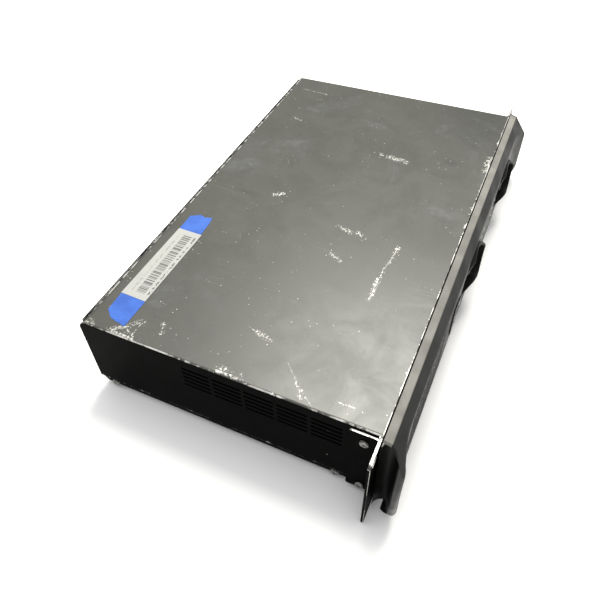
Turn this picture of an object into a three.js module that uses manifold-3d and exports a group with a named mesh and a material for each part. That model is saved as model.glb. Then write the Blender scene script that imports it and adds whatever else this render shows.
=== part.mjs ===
// Two-unit, 19-inch rack power amplifier, in millimetres, +Z up, front towards -Y.
// While the parts are drawn, y = 0 is the front plane of the steel chassis and +Y runs to the rear.
// The whole assembly is shifted at the end, so the origin is the bottom centre of its bounding box.
import * as THREE from 'three';
import { mergeVertices } from 'three/addons/utils/BufferGeometryUtils.js';
import Module from 'manifold-3d';

const wasm = await Module();
wasm.setup();

// Driving dimensions
const chassisWidth = 432;
const chassisDepth = 255;
const footHeight = 4;
const chassisTop = 88;
const panelWidth = 482.6;
const sheet = 1.5;
const gap = 0.3;
const halfWidth = chassisWidth / 2;
const chassisBottom = footHeight;
const insideHalf = halfWidth - sheet - gap;
const floorTop = chassisBottom + sheet;

// Front moulding
const faceY = -13.8;
const bezelBackY = -1.2;
const bezelHalf = 226;
const fingerWallX = 218;
const gripX = 237.2;
const gripY = -20.8;
const bezelBottom = 2.5;
const wall = 2.8;
const frontReach = 21.2;
const knobX = [8, 146];
const knobZ = 54;
const bayRadius = 18;
const bayWall = 2.5;
const bayFloorY = -6.2;
const bayRampX = -31;
const bayRampRadius = 12;
const swellY = -21.2;
const rockerX = -55;
const rockerZ = 46;
const rockerPivotY = -8.5;
const lampX = [-39, 46, 94];

// Rack ears: EIA hole spacing of a two-unit panel
const earBottom = 0.9;
const rackHoleX = 232.6;
const rackHoleZ = 44.45;
const rackHoleSpacing = 76.2;

// Rear panel
const rearPanelY = 252.9;
const rearFaceY = rearPanelY + sheet;
const rearReach = 5.1;
const fanX = 70;
const fanZ = 46;
const fanSize = 70;
const fanRadius = 31;
const xlrX = [-172, -138];
const xlrZ = 60;
const trsZ = 24;
const outletX = [-6, -42];
const outletZ = 60;
const inletX = 178;
const inletZ = 46;
const breakerX = 136;
const breakerZ = 46;
const modeX = -92;
const modeZ = 46;

const root = new THREE.Group();
const colours = {
  paint: [0x1d1d1c, 0.5, 0.3],
  moulding: [0x2a2a2a, 0.45, 0.0],
  steel: [0xb9bbbd, 0.35, 0.9],
  zinc: [0xa9abad, 0.45, 0.8],
  black: [0x101010, 0.55, 0.0],
  rubber: [0x161616, 0.9, 0.0],
  aluminium: [0xb4b6b8, 0.4, 0.9],
  board: [0x1f4a2c, 0.6, 0.0],
  copper: [0x8a4a24, 0.4, 0.6],
  sleeve: [0x20242c, 0.4, 0.0],
  foam: [0x1a1a1a, 1.0, 0.0],
  paper: [0xd8d5cc, 0.7, 0.0],
  tape: [0x4d8cfa, 0.6, 0.0],
  lens: [0x7fae6a, 0.25, 0.0],
  red: [0xa02018, 0.4, 0.0],
};

// ---------- solids ----------

function solidFrom(geometry) {
  geometry.deleteAttribute('normal');
  geometry.deleteAttribute('uv');
  const merged = mergeVertices(geometry, 1e-4);
  const index = merged.index.array;
  const place = merged.attributes.position.array;
  const kept = [];
  for (let i = 0; i < index.length; i += 3) {
    const [a, b, c] = [index[i], index[i + 1], index[i + 2]];
    if (a !== b && b !== c && c !== a) kept.push(a, b, c);
  }
  const mesh = new wasm.Mesh({
    numProp: 3,
    vertProperties: new Float32Array(place),
    triVerts: new Uint32Array(kept),
  });
  return new wasm.Manifold(mesh);
}

function geometryFrom(solid) {
  const mesh = solid.getMesh();
  const geometry = new THREE.BufferGeometry();
  geometry.setAttribute('position', new THREE.BufferAttribute(mesh.vertProperties, 3));
  geometry.setIndex(new THREE.BufferAttribute(mesh.triVerts, 1));
  geometry.computeVertexNormals();
  return geometry;
}

function block(x0, x1, y0, y1, z0, z1) {
  const geometry = new THREE.BoxGeometry(x1 - x0, y1 - y0, z1 - z0);
  geometry.translate((x0 + x1) / 2, (y0 + y1) / 2, (z0 + z1) / 2);
  return solidFrom(geometry);
}

// A cylinder or cone along X, Y or Z; u and v are its centre on the two other axes, in X, Y, Z order.
function rod(axis, radius, from, to, u, v, sides = 16, endRadius = radius) {
  const geometry = new THREE.CylinderGeometry(endRadius, radius, to - from, sides);
  const middle = (from + to) / 2;
  if (axis === 'x') {
    geometry.rotateZ(-Math.PI / 2);
    geometry.translate(middle, u, v);
  } else if (axis === 'y') {
    geometry.translate(u, middle, v);
  } else {
    geometry.rotateX(Math.PI / 2);
    geometry.translate(u, v, middle);
  }
  return solidFrom(geometry);
}

// A flat outline pulled along one axis. Its points are on the two other axes, in X, Y, Z order.
function prism(axis, outline, from, to, curveSegments = 8) {
  const points = Array.isArray(outline) && outline.map(([u, v]) => new THREE.Vector2(u, v));
  const shape = points ? new THREE.Shape(points) : outline;
  const settings = { depth: to - from, bevelEnabled: false, curveSegments };
  const geometry = new THREE.ExtrudeGeometry(shape, settings);
  const turn = new THREE.Matrix4();
  const [x, y, z] = [[1, 0, 0], [0, 1, 0], [0, 0, 1]].map((v) => new THREE.Vector3(...v));
  if (axis === 'x') {
    turn.makeBasis(y, z, x).setPosition(from, 0, 0);
  } else if (axis === 'y') {
    turn.makeBasis(x, z, y.negate()).setPosition(0, to, 0);
  } else {
    turn.setPosition(0, 0, from);
  }
  return solidFrom(geometry.applyMatrix4(turn));
}

// A profile of [radius, height] points turned about an axis along Y or Z.
function turned(axis, profile, u, v, start, sides = 24) {
  const geometry = new THREE.LatheGeometry(profile.map(([r, h]) => new THREE.Vector2(r, h)), sides);
  if (axis === 'y') {
    geometry.translate(u, start, v);
  } else {
    geometry.rotateX(Math.PI / 2);
    geometry.translate(u, v, start);
  }
  let solid = solidFrom(geometry);
  if (solid.volume() < 0) {
    const index = geometry.index.array;
    for (let i = 0; i < index.length; i += 3) [index[i], index[i + 1]] = [index[i + 1], index[i]];
    solid = solidFrom(geometry);
  }
  return solid;
}

function join(solids) {
  return solids.reduce((whole, next) => whole.add(next));
}

function cut(solid, tools) {
  return tools.length ? solid.subtract(join(tools)) : solid;
}

function add(name, solid, look) {
  const [color, roughness, metalness] = colours[look];
  const material = new THREE.MeshStandardMaterial({ color, roughness, metalness });
  const mesh = new THREE.Mesh(geometryFrom(solid), material);
  mesh.name = name;
  root.add(mesh);
}

const mirrored = (make) => [-1, 1].map(make);
const span = (a, b) => [Math.min(a, b), Math.max(a, b)];

// A sheet-metal slab on one side of the chassis: near and far are distances from the centre line.
function sideBlock(side, near, far, y0, y1, z0, z1) {
  const [x0, x1] = span(side * near, side * far);
  return block(x0, x1, y0, y1, z0, z1);
}

function sideRod(side, radius, near, far, y, z, sides = 8) {
  const [x0, x1] = span(side * near, side * far);
  return rod('x', radius, x0, x1, y, z, sides);
}

// ---------- steelwork ----------

const ventStartY = 28.1;
const ventGroups = 5;
const ventRows = 5;
const ventLength = 24.6;
const ventPitchY = 27;
const ventTopZ = 76.3;
const ventPitchZ = 5.2;
const ventHeight = 2.4;
const coverEdgeZ = chassisBottom + 10;
const coverBackY = 256;
const coverCorner = 9;
const lidEndY = coverBackY - 1.2;
const trayCorner = 10;
const trayFlangeTop = coverEdgeZ + 18;

function coverVents(side) {
  const slots = [];
  for (let group = 0; group < ventGroups; group += 1) {
    for (let row = 0; row < ventRows; row += 1) {
      const y = ventStartY + group * ventPitchY;
      const z = ventTopZ - row * ventPitchZ;
      const low = z - ventHeight / 2;
      slots.push(sideBlock(side, halfWidth - 4, halfWidth + 4, y, y + ventLength, low, low + ventHeight));
    }
  }
  return slots;
}

const trayScrewY = [33, 242];
const trayScrewZ = chassisBottom + 4.2;
const earScrews = [[11.6, chassisBottom + 69.9], [11.6, chassisBottom + 7]];
const earLegBack = 23;
const earLegNear = halfWidth + gap;
const earThick = 1.6;
const earLegLow = chassisBottom + 2;
const earLegHigh = chassisBottom + 80.6;

function topCover() {
  const outer = new THREE.Shape();
  outer.moveTo(0, coverEdgeZ);
  outer.lineTo(coverBackY, coverEdgeZ);
  outer.lineTo(coverBackY, chassisTop - coverCorner);
  outer.absarc(coverBackY - coverCorner, chassisTop - coverCorner, coverCorner, 0, Math.PI / 2);
  outer.lineTo(0, chassisTop);
  const flanges = prism('x', outer, -halfWidth, halfWidth);
  const lid = block(-halfWidth, halfWidth, 0, lidEndY, chassisTop - sheet, chassisTop);
  const hollow = block(-halfWidth + sheet, halfWidth - sheet, -1, coverBackY + 1, 0, chassisTop - sheet);
  const screwHoles = mirrored((side) => sideRod(side, 2.1, insideHalf, halfWidth + 1, ...earScrews[0]));
  const cuts = [...screwHoles, ...mirrored(coverVents).flat()];
  return cut(flanges.subtract(hollow).add(lid), cuts);
}

function bottomTray() {
  const cornerY = chassisDepth - trayCorner;
  const panelFrontY = rearPanelY - gap;
  const side = new THREE.Shape();
  side.moveTo(0, chassisBottom);
  side.lineTo(cornerY, chassisBottom);
  side.absarc(cornerY, chassisBottom + trayCorner, trayCorner, -Math.PI / 2, 0);
  side.lineTo(chassisDepth, trayFlangeTop);
  side.lineTo(0, trayFlangeTop);
  const floor = block(-insideHalf, insideHalf, 0, panelFrontY, chassisBottom, floorTop);
  const flanges = mirrored((s) => {
    const [x0, x1] = span(s * (insideHalf - sheet), s * insideHalf);
    return prism('x', side, x0, x1, 6);
  });
  const holes = mirrored((s) => [...trayScrewY.map((y) => [y, trayScrewZ]), earScrews[1]]
    .map(([y, z]) => sideRod(s, 2.1, insideHalf - 3, insideHalf + 1, y, z))).flat();
  const underPanel = block(-halfWidth, halfWidth, panelFrontY, chassisDepth + 1, 0, floorTop + 4);
  return cut(join([floor, ...flanges]), [...holes, underPanel]);
}

function rearPanelCuts() {
  const y0 = rearPanelY - 1;
  const y1 = rearFaceY + 1;
  const round = (r, x, z, sides) => rod('y', r, y0, y1, x, z, sides);
  return [
    round(fanRadius + 1.5, fanX, fanZ, 24),
    ...xlrX.map((x) => round(12.3, x, xlrZ, 18)),
    ...xlrX.map((x) => round(5.2, x, trsZ, 12)),
    ...outletX.map((x) => round(12.3, x, outletZ, 18)),
    block(inletX - 14.3, inletX + 14.3, y0, y1, inletZ - 10.8, inletZ + 10.8),
    round(6.3, breakerX, breakerZ, 14),
    block(modeX - 5.2, modeX + 5.2, y0, y1, modeZ - 3.4, modeZ + 3.4),
    ...rearScrewPlaces.map(([x, z]) => round(1.9, x, z, 6)),
  ];
}

const fanScrewOffset = 30.5;
const fanScrewPlaces = [[-1, -1], [1, -1], [1, 1], [-1, 1]]
  .map(([i, k]) => [fanX + i * fanScrewOffset, fanZ + k * fanScrewOffset]);
const rearScrewPlaces = [
  ...fanScrewPlaces,
  ...xlrX.flatMap((x) => [[x - 9.5, xlrZ + 12], [x + 9.5, xlrZ - 12]]),
  ...outletX.flatMap((x) => [[x - 9.5, outletZ + 12], [x + 9.5, outletZ - 12]]),
  [inletX - 20, inletZ],
  [inletX + 20, inletZ],
];

function rearPanel() {
  const edge = insideHalf - sheet - gap;
  const plate = block(-edge, edge, rearPanelY, rearFaceY, chassisBottom, chassisTop - sheet - gap);
  return cut(plate, rearPanelCuts());
}

const ventFieldLow = -196;
const ventFieldHigh = -92;
const subpanelY = 0.3;

function frontSubpanel() {
  const edge = insideHalf - sheet - gap;
  const y1 = subpanelY + sheet;
  const plate = block(-edge, edge, subpanelY, y1, floorTop + gap, chassisTop - sheet - gap);
  const window = (x0, x1) => block(x0, x1, -1, y1 + 1, 20, 74);
  const windows = [0, 1, 2].map((i) => window(ventFieldLow + 4 + i * 34, ventFieldLow + 32 + i * 34));
  const shaftHoles = knobX.map((x) => rod('y', 4.7, -1, y1 + 1, x, knobZ, 12));
  const switchHole = block(rockerX - 9.4, rockerX + 9.4, -1, y1 + 1, rockerZ - 13.9, rockerZ + 13.9);
  const lampHoles = lampPlaces().map(([x, z]) => rod('y', 2.1, -1, y1 + 1, x, z, 6));
  return cut(plate, [...windows, ...shaftHoles, switchHole, ...lampHoles]);
}

// L-shaped ear: a plate in the front plane with two rack slots, and a leg along the chassis side.
function rackEar(side) {
  const plate = sideBlock(side, earLegNear, panelWidth / 2, 0, 2, earBottom, chassisTop);
  const legFar = earLegNear + earThick;
  const leg = sideBlock(side, earLegNear, legFar, 0, earLegBack, earLegLow, earLegHigh);
  const slot = (z) => join([
    rod('y', 3.4, -1, 4, side * (rackHoleX - 1.6), z, 14),
    rod('y', 3.4, -1, 4, side * (rackHoleX + 1.6), z, 14),
    block(side * rackHoleX - 1.6, side * rackHoleX + 1.6, -1, 4, z - 3.4, z + 3.4),
  ]);
  const slots = [-1, 1].map((k) => slot(rackHoleZ + k * rackHoleSpacing / 2));
  const holes = earScrews.map(([y, z]) => sideRod(side, 2.1, halfWidth, halfWidth + 4, y, z));
  return cut(plate.add(leg), [...slots, ...holes]);
}

// ---------- front moulding ----------

function lampPlaces() {
  const [power, ...channels] = lampX;
  const rows = [34, 44, 54, 64];
  return [[power, 40], [power, 52], ...channels.flatMap((x) => rows.map((z) => [x, z]))];
}

// Seen from above: a straight face whose two ends swell into grips. A round hollow for the fingers
// lies between each grip and the ear behind it.
function bezelPlan() {
  const side = (sign) => [
    [[sign * 219.5, -1.4], [sign * fingerWallX, -7]],
    [[sign * 217.8, -12.6], [sign * 228, -13.6]],
    [[sign * 237.3, -14.2], [sign * gripX, -17.4]],
    [[sign * 236.6, gripY], [sign * 232, gripY + 0.1]],
  ];
  const plan = new THREE.Shape();
  plan.moveTo(-bezelHalf, bezelBackY);
  side(-1).forEach(([control, end]) => plan.quadraticCurveTo(...control, ...end));
  plan.bezierCurveTo(-219, -20.6, -208, faceY, -192, faceY);
  plan.lineTo(192, faceY);
  plan.bezierCurveTo(208, faceY, 219, -20.6, 232, gripY + 0.1);
  const back = side(1).reverse();
  back.forEach(([control], i) => {
    const end = i + 1 < back.length ? back[i + 1][1] : [bezelHalf, bezelBackY];
    plan.quadraticCurveTo(...control, ...end);
  });
  return plan;
}

// Seen from the front: the long edges are straight and both ends are rounded like a grip.
function bezelFrontOutline() {
  const outline = new THREE.Shape();
  outline.moveTo(-212, bezelBottom);
  outline.lineTo(212, bezelBottom);
  outline.bezierCurveTo(228, bezelBottom, 237.5, 16, 237.5, 36);
  outline.bezierCurveTo(237.5, 60, 230, 76, 224, chassisTop);
  outline.lineTo(-224, chassisTop);
  outline.bezierCurveTo(-230, 76, -237.5, 60, -237.5, 36);
  outline.bezierCurveTo(-237.5, 16, -228, bezelBottom, -212, bezelBottom);
  return outline;
}

// Seen from the side: a shallow top, a steep chamfer below it, and a small chamfer at the bottom.
function bezelSideProfile(inset) {
  return [
    [bezelBackY + (inset ? 1 : 0), bezelBottom + inset],
    [-9 + inset, bezelBottom + inset],
    [-24 + inset, bezelBottom + 19 + inset],
    [-24 + inset, chassisTop - 30 - inset],
    [-7.5 + inset, chassisTop - 1.5 - inset],
    [bezelBackY + (inset ? 1 : 0), chassisTop - inset],
  ];
}

// Seen from above: the face swells slowly out to the far side of a knob bay and turns back sharply.
function swellPlan(x) {
  const plan = new THREE.Shape();
  plan.moveTo(x - 38, faceY + 1);
  plan.lineTo(x - 38, faceY);
  plan.bezierCurveTo(x - 24, faceY, x - 11, swellY, x + 4, swellY);
  plan.quadraticCurveTo(x + 21, swellY, x + 22, -18);
  plan.lineTo(x + 22.5, faceY + 1);
  return plan;
}

const disc = (radius, from, to, x) => rod('y', radius, from, to, x, knobZ, 28);

// The swell is round around the bay and narrows towards the low side. The chamfer trims its top.
function swell(x) {
  const outer = bayRadius + bayWall;
  const outline = disc(outer, -30, 0, x + 1.5).add(disc(bayRampRadius + bayWall, -30, 0, x + bayRampX));
  return prism('z', swellPlan(x), 30, 80, 6)
    .intersect(outline.hull())
    .intersect(prism('x', bezelSideProfile(0), x - 50, x + 50));
}

// The bay is a round pocket with a ramp that runs up to the face on its low side.
function bayScoop(x) {
  return disc(bayRadius, -30, bayFloorY, x).add(disc(bayRampRadius, -30, faceY - 0.4, x + bayRampX)).hull();
}

function bayLining(x) {
  const pocket = disc(bayRadius + bayWall, faceY + 0.4, bayFloorY + bayWall, x);
  const ramp = disc(bayRampRadius + bayWall, faceY + 0.4, faceY + bayWall, x + bayRampX);
  return pocket.add(ramp).hull();
}

const grilleSlots = 12;

function grilleCut(i) {
  const x = ventFieldLow + 4 + i * 8.4;
  const lean = 6;
  return prism('y', [[x, 18], [x + 4.6, 18], [x + 4.6 + lean, 74], [x + lean, 74]], -20, -8);
}

function frontBezel() {
  const body = prism('z', bezelPlan(), bezelBottom, chassisTop, 5)
    .intersect(prism('y', bezelFrontOutline(), -30, 0, 5))
    .intersect(prism('x', bezelSideProfile(0), -300, 300));
  const hollowHalf = fingerWallX - wall;
  const hollow = prism('x', bezelSideProfile(wall), -hollowHalf, hollowHalf)
    .intersect(block(-300, 300, faceY + wall, 5, 0, 100));
  const cuts = [
    ...knobX.map(bayScoop),
    ...knobX.map((x) => rod('y', 4.7, -30, 0, x, knobZ, 12)),
    block(rockerX - 9.4, rockerX + 9.4, -20, 0, rockerZ - 13.9, rockerZ + 13.9),
    ...lampPlaces().map(([x, z]) => rod('y', 1.9, -20, 0, x, z, 6)),
    ...Array.from({ length: grilleSlots }, (_, i) => grilleCut(i)),
  ];
  return cut(join([body.subtract(hollow), ...knobX.map(swell), ...knobX.map(bayLining)]), cuts);
}

function dustFilter() {
  return block(ventFieldLow - 2, ventFieldHigh + 6, -10, -4.6, 13, 72);
}

// ---------- front controls ----------

const knobRadius = 13.5;
const knobFrontY = -14.2;
const knobBackY = bayFloorY - 0.7;

function levelKnob(x) {
  const length = knobBackY - knobFrontY;
  const cap = [[0, 0], [knobRadius - 1.9, 0], [knobRadius - 0.8, 1.2]];
  const profile = [...cap, [knobRadius, length - 3], [knobRadius, length], [0, length]];
  const skirt = turned('y', profile, x, knobZ, knobFrontY, 24);
  const flutes = Array.from({ length: 12 }, (_, i) => {
    const angle = i * Math.PI / 6 + Math.PI / 12;
    const reach = knobRadius + 1.1;
    const [u, v] = [x + reach * Math.cos(angle), knobZ + reach * Math.sin(angle)];
    return rod('y', 1.9, knobFrontY - 1, knobBackY - 2.4, u, v, 6);
  });
  const pointer = block(x - 0.7, x + 0.7, knobFrontY - 1, knobFrontY + 0.8, knobZ + 3, knobZ + 12.2);
  const bore = rod('y', 3.0, knobFrontY + 4, 0, x, knobZ, 10);
  return cut(skirt, [...flutes, pointer, bore]);
}

function levelShaft(x) {
  return rod('y', 2.6, knobFrontY + 4.3, 3.4, x, knobZ, 10);
}

const potBackY = 9.4;

function levelPot(x) {
  const can = rod('y', 8, 2.1, potBackY, x, knobZ, 14);
  const bush = rod('y', 4.3, bayFloorY - 0.1, 3, x, knobZ, 12);
  const legY = potBackY - 3;
  const leg = (u) => block(u - 0.6, u + 0.6, legY, legY + 0.8, knobZ - 12, knobZ - 5);
  const legs = [-5, 0, 5].map((dx) => leg(x + dx));
  return cut(join([can, bush, ...legs]), [rod('y', 3.0, -20, 4, x, knobZ, 10)]);
}

function rockerSwitchBody() {
  const flange = block(rockerX - 10.6, rockerX + 10.6, -15.2, faceY - gap, rockerZ - 15.4, rockerZ + 15.4);
  const body = block(rockerX - 9, rockerX + 9, faceY - gap - 0.2, 15, rockerZ - 13.5, rockerZ + 13.5);
  const tab = (u) => block(u - 0.4, u + 0.4, 14, 22, rockerZ - 3, rockerZ + 3);
  const tabs = [-5, 5].map((dx) => tab(rockerX + dx));
  const well = rod('x', 11.5, rockerX - 6.6, rockerX + 6.6, rockerPivotY, rockerZ, 22);
  return join([flange, body, ...tabs]).subtract(well);
}

function powerRocker() {
  const profile = [[-7.0, -0.6], [-5.0, -8.2], [0, -7.6], [5, -3], [5, 3], [0, 7.6], [-7.4, 8.2]];
  const outline = profile.map(([y, z]) => [rockerPivotY + y, rockerZ + z]);
  return prism('x', outline, rockerX - 6.2, rockerX + 6.2);
}

const controlBoardX = -45.4;
const controlBoardY = 10.2;

// Clear rods from the front face to the board's lamps, moulded in one piece on a thin runner.
function lightPipes() {
  const rods = lampPlaces().map(([x, z]) => rod('y', 1.4, -14.4, controlBoardY - 0.4, x, z, 6));
  const runnerZ = 27;
  const runner = block(lampX[0] - 1, lampX[2] + 1, -4, -2.6, runnerZ - 3, runnerZ);
  const stems = lampX.map((x, i) => block(x - 1, x + 1, -4, -2.6, runnerZ - 1, i ? 64 : 52));
  return join([runner, ...stems, ...rods]);
}

function controlBoard() {
  const plate = block(controlBoardX, 168, controlBoardY, controlBoardY + 1.6, 16, 78);
  const holes = [[-41, 20], [-41, 74], [164, 20], [164, 74]].map(([x, z]) => rod('y', 1.6, 8, 14, x, z, 6));
  return cut(plate, holes);
}

// ---------- power supply and output stage ----------

const toroidX = -150;
const toroidY = 110;
const toroidOuter = 54;
const toroidInner = 17;
const toroidBottom = floorTop + 1.4;
const toroidTop = 58;

function toroid() {
  const height = toroidTop - toroidBottom;
  const round = 9;
  const corner = (cx, cy, a0) => [0, 1, 2].map((i) => {
    const angle = a0 + i * Math.PI / 4;
    return [cx + round * Math.cos(angle), cy + round * Math.sin(angle)];
  });
  const profile = [
    ...corner(toroidOuter - round, round, -Math.PI / 2),
    ...corner(toroidOuter - round, height - round, 0),
    ...corner(toroidInner + round, height - round, Math.PI / 2),
    ...corner(toroidInner + round, round, Math.PI),
  ];
  return turned('z', [...profile, profile[0]], toroidX, toroidY, toroidBottom, 24);
}

function transformerClamp() {
  const plate = rod('z', 38, toroidTop + gap, toroidTop + 2.3, toroidX, toroidY, 24);
  const dish = rod('z', 13, toroidTop - 5, toroidTop + 2.3, toroidX, toroidY, 16, 15);
  const bolt = rod('z', 4.4, 0, 90, toroidX, toroidY, 10);
  return plate.add(dish).subtract(bolt);
}

function transformerBolt() {
  const shank = rod('z', 4, floorTop + gap, toroidTop + 3, toroidX, toroidY, 10);
  const head = rod('z', 7.4, toroidTop + 2.6, toroidTop + 8, toroidX, toroidY, 6);
  return shank.add(head);
}

const sinkStart = 34;
const sinkEnd = 214;
const sinkSpread = [[26, 1], [114, -1]];

// Finned extrusion: a base wall that carries the transistors, and fins that point into the air tunnel.
function heatSink([baseX, towards]) {
  const wallBlock = (from, to, z0, z1) => {
    const [x0, x1] = span(baseX + towards * from, baseX + towards * to);
    return block(x0, x1, sinkStart, sinkEnd, z0, z1);
  };
  const fins = Array.from({ length: 9 }, (_, i) => wallBlock(5, 42, 15 + i * 7.2, 16.6 + i * 7.2));
  return join([wallBlock(0, 6, 14, 76), ...fins]);
}

// Four output devices with their legs, under the one bar that clamps them to the heat sink.
function transistorBank([baseX, towards]) {
  const [x0, x1] = span(baseX - towards * 0.3, baseX - towards * 5.3);
  const devices = [55, 90, 125, 160].map((y) => {
    const leg = (dy) => block((x0 + x1) / 2 - 0.6, (x0 + x1) / 2 + 0.6, y + dy, y + dy + 1.2, 18, 35);
    return join([block(x0, x1, y, y + 20, 34, 60), leg(4), leg(9.4), leg(14.8)]);
  });
  const [b0, b1] = span(baseX - towards * 5.2, baseX - towards * 7.2);
  return join([...devices, block(b0, b1, 50, 186, 44, 50)]);
}

const boardZ = 12;
const boardX0 = -84;
const boardX1 = 18;

function ampBoard() {
  const plate = block(boardX0, boardX1, 24, 226, boardZ, boardZ + 1.6);
  const holes = standoffPlaces.map(([x, y]) => rod('z', 1.7, 8, 18, x, y, 6));
  return cut(plate, holes);
}

const standoffPlaces = [boardX0 + 5, boardX1 - 5].flatMap((x) => [30, 125, 220].map((y) => [x, y]));

function reservoirCapacitor(y) {
  const radius = 20;
  const height = 52;
  const profile = [
    [0, 0], [radius - 1, 0], [radius, 2.6], [radius, height - 1], [radius - 1, height], [0, height],
  ];
  return turned('z', profile, -34, y, boardZ + 1.9, 18);
}

function inputBoard() {
  return block(-204, -94, 222, 223.6, 12, 80);
}

// ---------- cooling fan ----------

const fanFrontY = rearPanelY - gap - 20;

function fanFrame() {
  const half = fanSize / 2;
  const y1 = rearPanelY - gap;
  const frame = block(fanX - half, fanX + half, fanFrontY, y1, fanZ - half, fanZ + half);
  const duct = rod('y', fanRadius + 1.2, fanFrontY - 1, y1 + 1, fanX, fanZ, 26);
  const hub = rod('y', 12, fanFrontY, fanFrontY + 3, fanX, fanZ, 14);
  const pin = rod('y', 1.6, fanFrontY, y1 - 6, fanX, fanZ, 10);
  const struts = [0, 1, 2].map((i) => {
    const angle = Math.PI / 2 + i * Math.PI * 2 / 3;
    const [dx, dz] = [Math.cos(angle), Math.sin(angle)];
    const [px, pz] = [-dz * 2, dx * 2];
    const at = (r, s) => [fanX + dx * r + px * s, fanZ + dz * r + pz * s];
    return prism('y', [at(9, -1), at(33.5, -1), at(33.5, 1), at(9, 1)], fanFrontY, fanFrontY + 3);
  });
  const holes = fanScrewPlaces.map(([x, z]) => rod('y', 2, fanFrontY - 1, y1 + 1, x, z, 6));
  return cut(join([frame.subtract(duct), hub, pin, ...struts]), holes);
}

function fanBlade(i) {
  const bladeLength = fanRadius - 10;
  const geometry = new THREE.BoxGeometry(bladeLength, 1.4, 14);
  geometry.rotateX(0.7);
  geometry.translate(10 + bladeLength / 2, 0, 0);
  geometry.rotateY(i * Math.PI * 2 / 7);
  geometry.translate(fanX, fanFrontY + 10.2, fanZ);
  return solidFrom(geometry);
}

function fanRotor() {
  const hub = rod('y', 13, fanFrontY + 3.4, fanFrontY + 17, fanX, fanZ, 18);
  const bore = rod('y', 1.9, fanFrontY, fanFrontY + 15, fanX, fanZ, 10);
  const blades = Array.from({ length: 7 }, (_, i) => fanBlade(i));
  return join([hub, ...blades]).subtract(bore);
}

// Wire guard: rings and spokes with four lugs under the fan screws.
function fanGuard() {
  const y0 = rearFaceY + gap;
  const wire = 0.9;
  const ring = (radius) => {
    const [r0, r1] = [radius - wire, radius + wire];
    const section = [[r0, 0], [r1, 0], [r1, 2 * wire], [r0, 2 * wire], [r0, 0]];
    return turned('y', section, fanX, fanZ, y0 + 1.4, 20);
  };
  const lugs = fanScrewPlaces.map(([x, z]) => rod('y', 4.2, y0, y0 + 1.6, x, z, 8));
  const spokes = fanScrewPlaces.map(([x, z]) => {
    const [dx, dz] = [Math.sign(x - fanX) * Math.SQRT1_2, Math.sign(z - fanZ) * Math.SQRT1_2];
    const at = (r, s) => [fanX + dx * r - dz * s, fanZ + dz * r + dx * s];
    return prism('y', [at(5, -0.9), at(41, -0.9), at(41, 0.9), at(5, 0.9)], y0, y0 + 1.6);
  });
  const holes = fanScrewPlaces.map(([x, z]) => rod('y', 1.9, y0 - 1, y0 + 3, x, z, 6));
  return cut(join([...[8, 19, 30].map(ring), ...lugs, ...spokes]), holes);
}

// ---------- rear connectors ----------

const flangeY0 = rearFaceY + gap;
const flangeY1 = flangeY0 + 2;
const flangeHoles = (x, z) => [[x - 9.5, z + 12], [x + 9.5, z - 12]]
  .map(([u, v]) => rod('y', 1.9, 250, 262, u, v, 6));

function dFlange(x, z) {
  return block(x - 13, x + 13, flangeY0, flangeY1, z - 15.5, z + 15.5);
}

function xlrJack(x) {
  const shell = rod('y', 11.9, 226, flangeY1 + 1, x, xlrZ, 18);
  const socket = rod('y', 9.2, 238, 270, x, xlrZ, 18);
  const core = rod('y', 7.6, 236, 255, x, xlrZ, 14);
  const keyway = block(x - 1.6, x + 1.6, 238, 270, xlrZ - 10.4, xlrZ - 7);
  const contacts = [[-3.4, 1.8], [3.4, 1.8], [0, -3.6]]
    .map(([dx, dz]) => rod('y', 1.5, 240, 260, x + dx, xlrZ + dz, 6));
  const latchSlot = block(x - 3.6, x + 3.6, 244.6, 270, xlrZ + 8.4, xlrZ + 11.8);
  const whole = shell.add(dFlange(x, xlrZ)).subtract(socket).add(core);
  return cut(whole, [keyway, ...contacts, latchSlot, ...flangeHoles(x, xlrZ)]);
}

function xlrLatch(x) {
  return block(x - 3.2, x + 3.2, 248, flangeY1 + 3.4, xlrZ + 9.2, xlrZ + 11.4);
}

function trsJack(x) {
  const body = block(x - 7.5, x + 7.5, 226, 252.4, trsZ - 7.5, trsZ + 7.5);
  const barrel = rod('y', 4.9, 252, rearFaceY + 2, x, trsZ, 12);
  const nut = rod('y', 7.6, rearFaceY + gap, rearFaceY + 3, x, trsZ, 6);
  return join([body, barrel, nut]).subtract(rod('y', 3.3, 232, 262, x, trsZ, 12));
}

function speakerOutlet(x) {
  const shell = rod('y', 11.9, 230, flangeY1 + 1, x, outletZ, 18);
  const well = rod('y', 9.6, 236, 262, x, outletZ, 18);
  const core = rod('y', 5.6, 234, 256, x, outletZ, 12).subtract(rod('y', 2.4, 240, 258, x, outletZ, 8));
  const key = (u) => block(u - 1.6, u + 1.6, 244, 262, outletZ - 2, outletZ + 2);
  const keys = [-9, 9].map((dx) => key(x + dx));
  const cuts = [well, ...keys, ...flangeHoles(x, outletZ)];
  return cut(shell.add(dFlange(x, outletZ)), cuts).add(core);
}

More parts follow.
